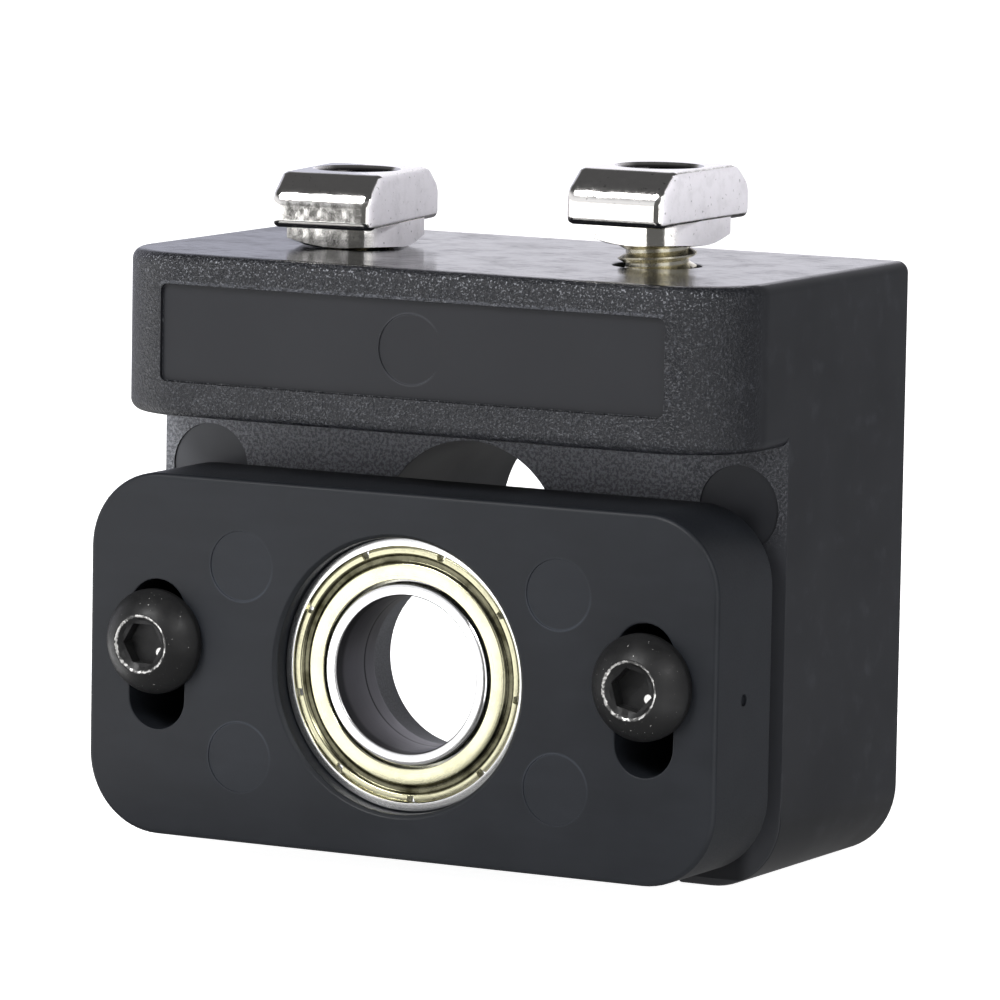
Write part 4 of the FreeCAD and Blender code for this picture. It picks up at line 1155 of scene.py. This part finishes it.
class SUPPORT_OT_profile_screws(bpy.types.Operator):
    """Turn the two cap-head profile screws with their threads"""

    bl_idname = "support.profile_screws"
    bl_label = "Profile screws"

    def execute(self, context):
        looks = context.scene.support_screws
        zinc = bright_zinc(looks)
        steps = 96
        socket = hexagon(2.5)

        def knurled(angle):
            """Radius of the knurled head."""
            return 3.5 if round(angle / math.tau * steps) % 2 else 3.41

        head = (
            eased([(3.0, 0.0), (3.38, 0.0), (3.4, -0.12)], 0.08, closed=False)
            + [(knurled, -0.25), (knurled, -2.3)]
            + eased([(3.4, -2.4), (3.15, -2.8), (1.66, -2.8), (1.5, -2.68)], 0.12, closed=False)
            + [(socket, -2.6), (socket, -1.2), (0.6, -1.1), (0.02, -1.0)])
        sizes = thread_sizes(looks.profile_thread, looks.profile_pitch, looks.profile_reach, steps)
        mesh = threaded_pair(head, sizes, 2 * PROFILE_X, looks.profile_turn, zinc)
        mesh.transform(Matrix.Translation((0, PROFILE_Y, PROFILE_HIGH.z - looks.profile_reach)))
        nodes = ("profile_screw_left", "profile_screw_right")
        add_piece("profile_screws", mesh, "block", nodes, zinc)
        return {"FINISHED"}


def t_nut_bar(looks):
    """The sloped bar of a T-nut along Y with its tumbled edges, drilled, standing on its boss's underside."""
    reach, wide, top, low = looks.long_half, looks.wide_half, looks.tall, looks.boss_tall
    slope_end, slope_low = reach - looks.slope_run, top - looks.slope_rise
    outline = (
        (-reach, low), (reach, low), (reach, slope_low),
        (slope_end, top), (-slope_end, top), (-reach, slope_low))
    # Rounding in millimetres of the edges across the bar at each point, and along its sides after each point
    across = (0.45, 0.55, 0.85, 0.75, 0.35, 0.60)
    along = (0.35, 0.60, 0.55, 0.40, 0.55, 0.60)
    bm = bmesh.new()
    near, far = ([bm.verts.new((x, y, z)) for y, z in outline] for x in (-wide, wide))
    bm.faces.new(near)
    bm.faces.new(far[::-1])
    weights = bm.edges.layers.float.new("bevel_weight_edge")
    following = [(number + 1) % len(outline) for number in range(len(outline))]
    for number, after in enumerate(following):
        bm.faces.new((near[number], far[number], far[after], near[after]))
    for number, after in enumerate(following):
        bm.edges.get((near[number], far[number]))[weights] = across[number]
        for side in (near, far):
            bm.edges.get((side[number], side[after]))[weights] = along[number]
    maker = linked_object("maker", closed_mesh(bm, "bar"))
    weighted_rounding(maker, 1.0 * MM, 6)
    bm = bmesh.new()
    hole = looks.hole_radius
    mouth = 0.25 * MM
    profile = [(hole, 0.0), (hole, top - mouth), (hole + 2 * mouth, top + mouth)]
    rings = turned(bm, profile, 72, closed=False, scale=1.0)
    bm.faces.new(rings[0])
    bm.faces.new(rings[-1])
    drill = linked_object("drill", closed_mesh(bm, "drill"))
    drilled = maker.modifiers.new("hole", "BOOLEAN")
    drilled.operation = "DIFFERENCE"
    drilled.object = drill
    mesh = plain_mesh(maker)
    discard(drill)
    return mesh


def t_nut_boss(looks):
    """The drilled boss under a T-nut, with two rounded corners and a turned bevel below."""
    half, corner, hole = looks.boss_half, looks.boss_corner, looks.hole_radius
    middle = half - corner
    bevel_slope = 0.3636
    into_bar = 0.15 * MM

    def outline(angle):
        """Radius of the boss at an angle."""
        x, y = math.cos(angle), math.sin(angle)
        flat = half / max(abs(x), abs(y))
        if x * y >= 0:
            return flat
        x, y = abs(x), abs(y)
        dot = (x + y) * middle
        room = dot * dot - 2 * middle * middle + corner * corner
        bent = dot + math.sqrt(max(room, 0.0))
        inside = min(bent * x, bent * y) > middle
        return bent if inside else flat

    def bevel(angle):
        """Height of the boss's lower edge at an angle."""
        return max(0.0, (outline(angle) - half) * bevel_slope)

    bm = bmesh.new()
    top = looks.boss_tall + into_bar
    turned(bm, [(hole, 0.0), (half, 0.0), (outline, bevel), (outline, top), (hole, top)], 144, scale=1.0)
    return closed_mesh(bm, "boss")


class SUPPORT_OT_nuts(bpy.types.Operator):
    """Make the T-nuts with their tumbled edges, and finish the captive nuts"""

    bl_idname = "support.nuts"
    bl_label = "T-nuts and captive nuts"

    def execute(self, context):
        looks = context.scene.support_nuts
        nickel = tumbled_nickel(looks)
        zinc = bright_zinc(context.scene.support_screws)
        bm = bmesh.new()
        for part in (t_nut_bar(looks), t_nut_boss(looks)):
            bm.from_mesh(part)
            bpy.data.meshes.remove(part)
        nut = flat_shaded(closed_mesh(bm, "t_nut"))
        for name, x, turn in (("left", -PROFILE_X, looks.left_turn), ("right", PROFILE_X, looks.right_turn)):
            mesh = nut.copy()
            place = Vector((x, PROFILE_Y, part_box(f"t_nut_{name}")[0][2]))
            mesh.transform(Matrix.Translation(place) @ Matrix.Rotation(turn, 4, "Z"))
            add_piece(f"{name}_t_nut", mesh, f"nut_{name}", (f"t_nut_{name}",), nickel, None)
            dress_node(f"clamp_nut_{name}", zinc)
        bpy.data.meshes.remove(nut)
        return {"FINISHED"}


class SUPPORT_OT_stage(bpy.types.Operator):
    """Lay the floor, set the soft light and place the camera"""

    bl_idname = "support.stage"
    bl_label = "Stage"

    def execute(self, context):
        looks = context.scene.support_stage
        bm = bmesh.new()
        bmesh.ops.create_circle(bm, cap_ends=True, segments=96, radius=looks.floor_radius)
        mesh = mesh_of(bm, "studio_floor")
        mesh.materials.append(pale_floor(looks))
        linked_object("studio_floor", mesh)
        self.surround(context, looks)
        self.cards(looks)
        self.lamps()
        self.camera(context, looks)
        context.scene.view_settings.view_transform = "Standard"
        return {"FINISHED"}

    def surround(self, context, looks):
        """A bright horizon under a dark ceiling."""
        world = bpy.data.worlds.new("studio")
        world.use_nodes = True
        context.scene.world = world
        n = Nodes(world.node_tree)
        back = world.node_tree.nodes["Background"].inputs
        height = n.split(n.add("ShaderNodeTexCoord").outputs["Generated"])[2]
        n.feed(back["Strength"], n.span(height, 0.22, 0.62, looks.horizon, looks.ceiling))
        n.feed(back["Color"], (0.97, 0.97, 1.0, 1.0))

    def cards(self, looks):
        """Cards round the object, seen only in its reflections."""
        far = looks.card_radius / MM
        lift = 0.4
        # Angles from +X towards +Y in degrees, inner and outer radius, height, tone and strength
        for name, start, end, reach, height, tone, strength in (
                ("shade_disc", 0, 360, (0, 28), 0, (1.0, 1.0, 1.0), 0.30),
                ("camera_flag", 255, 304, (28, far), 150, (1.0, 1.0, 0.97), 0.12),
                ("right_strip", 312, 342, (90, far), 150, (1.0, 1.0, 1.0), 1.4),
                ("right_flag", 343, 440, (28, far), 130, (0.92, 0.94, 1.0), 0.40),
                ("back_floor", 440, 525, (28, far), 0, (1.0, 1.0, 1.0), 0.28),
                ("back_card", 85, 121, (200, far), 150, (0.93, 0.92, 1.0), 1.15),
                ("back_flag", 121, 165, (200, far), 150, (0.85, 0.86, 1.0), 0.75)):
            profile = [(reach[0], lift), (reach[1], lift)]
            if height:
                profile.append((reach[1], height))
            bm = bmesh.new()
            turned(bm, profile, 24, closed=False, sweep=math.radians(end - start))
            mesh = mesh_of(bm, name)
            mesh.transform(Matrix.Rotation(math.radians(start), 4, "Z"))
            mesh.materials.append(studio_card(name, tone, strength))
            card = linked_object(name, mesh)
            card.visible_camera = False
            card.visible_diffuse = False
            card.visible_shadow = False

    def lamps(self):
        """Softboxes, each at an angle and a height in degrees, and a distance from the object."""
        for name, angle, rise, far, size, power in (
                ("key_box", 250, 42, 0.6, 0.26, 3.0),
                ("right_box", 328, 34, 0.6, 0.16, 1.0)):
            lamp = bpy.data.lights.new(name, "AREA")
            lamp.shape = "DISK"
            lamp.size = size
            lamp.energy = power
            holder = linked_object(name, lamp)
            turn = math.radians(angle)
            lift = math.radians(rise)
            way = Vector((math.cos(turn) * math.cos(lift), math.sin(turn) * math.cos(lift), math.sin(lift)))
            holder.location = CAD_BOX_MIDDLE + way * far
            holder.rotation_euler = way.to_track_quat("Z", "Y").to_euler()
            holder.visible_camera = False

    def camera(self, context, looks):
        """A long lens at the photograph's angle."""
        forward = Vector((-math.sin(looks.yaw) * math.cos(looks.pitch),
                          math.cos(looks.yaw) * math.cos(looks.pitch), -math.sin(looks.pitch)))
        level = Vector((math.cos(looks.yaw), math.sin(looks.yaw), 0.0))
        upright = level.cross(forward)
        right = level * math.cos(looks.roll) + upright * math.sin(looks.roll)
        up = upright * math.cos(looks.roll) - level * math.sin(looks.roll)
        aim = Vector((0.0, PLATE_FRONT, BEARING_MIDDLE.z))
        lens = bpy.data.cameras.new("camera")
        lens.lens = looks.lens
        lens.sensor_width = 36.0
        lens.clip_start = 0.01
        holder = linked_object("camera", lens)
        turn = Matrix((right, up, -forward)).transposed().to_4x4()
        spot = aim - right * looks.across - up * looks.above - forward * looks.distance
        holder.matrix_world = Matrix.Translation(spot) @ turn
        context.scene.camera = holder


OPERATORS = (
    SUPPORT_OT_block, SUPPORT_OT_plate, SUPPORT_OT_rings, SUPPORT_OT_shields, SUPPORT_OT_balls,
    SUPPORT_OT_clamp_screws, SUPPORT_OT_profile_screws, SUPPORT_OT_nuts, SUPPORT_OT_stage)
GROUPS = (
    ("support_moulding", MouldingLooks), ("support_bearing", BearingLooks), ("support_screws", ScrewLooks),
    ("support_nuts", NutLooks), ("support_stage", StageLooks))


class SUPPORT_PT_panel(bpy.types.Panel):
    """Lists the looks and the pieces of the support block"""

    bl_idname = "SUPPORT_PT_panel"
    bl_label = "Support block"
    bl_space_type = "VIEW_3D"
    bl_region_type = "UI"
    bl_category = "Support block"

    def draw(self, context):
        for name, group in GROUPS:
            box = self.layout.box()
            for prop in group.__annotations__:
                box.prop(getattr(context.scene, name), prop)
        for operator in OPERATORS:
            self.layout.operator(operator.bl_idname)


def register():
    """Registers the groups, the operators and the panel."""
    for name, group in GROUPS:
        bpy.utils.register_class(group)
        setattr(bpy.types.Scene, name, bpy.props.PointerProperty(type=group))
    for operator in OPERATORS:
        bpy.utils.register_class(operator)
    bpy.utils.register_class(SUPPORT_PT_panel)


def unregister():
    """Takes all of them away again."""
    bpy.utils.unregister_class(SUPPORT_PT_panel)
    for operator in reversed(OPERATORS):
        bpy.utils.unregister_class(operator)
    for name, group in reversed(GROUPS):
        delattr(bpy.types.Scene, name)
        bpy.utils.unregister_class(group)


def main():
    register()
    for operator in OPERATORS:
        group, name = operator.bl_idname.split(".")
        getattr(getattr(bpy.ops, group), name)()


if __name__ == "__main__":
    main()
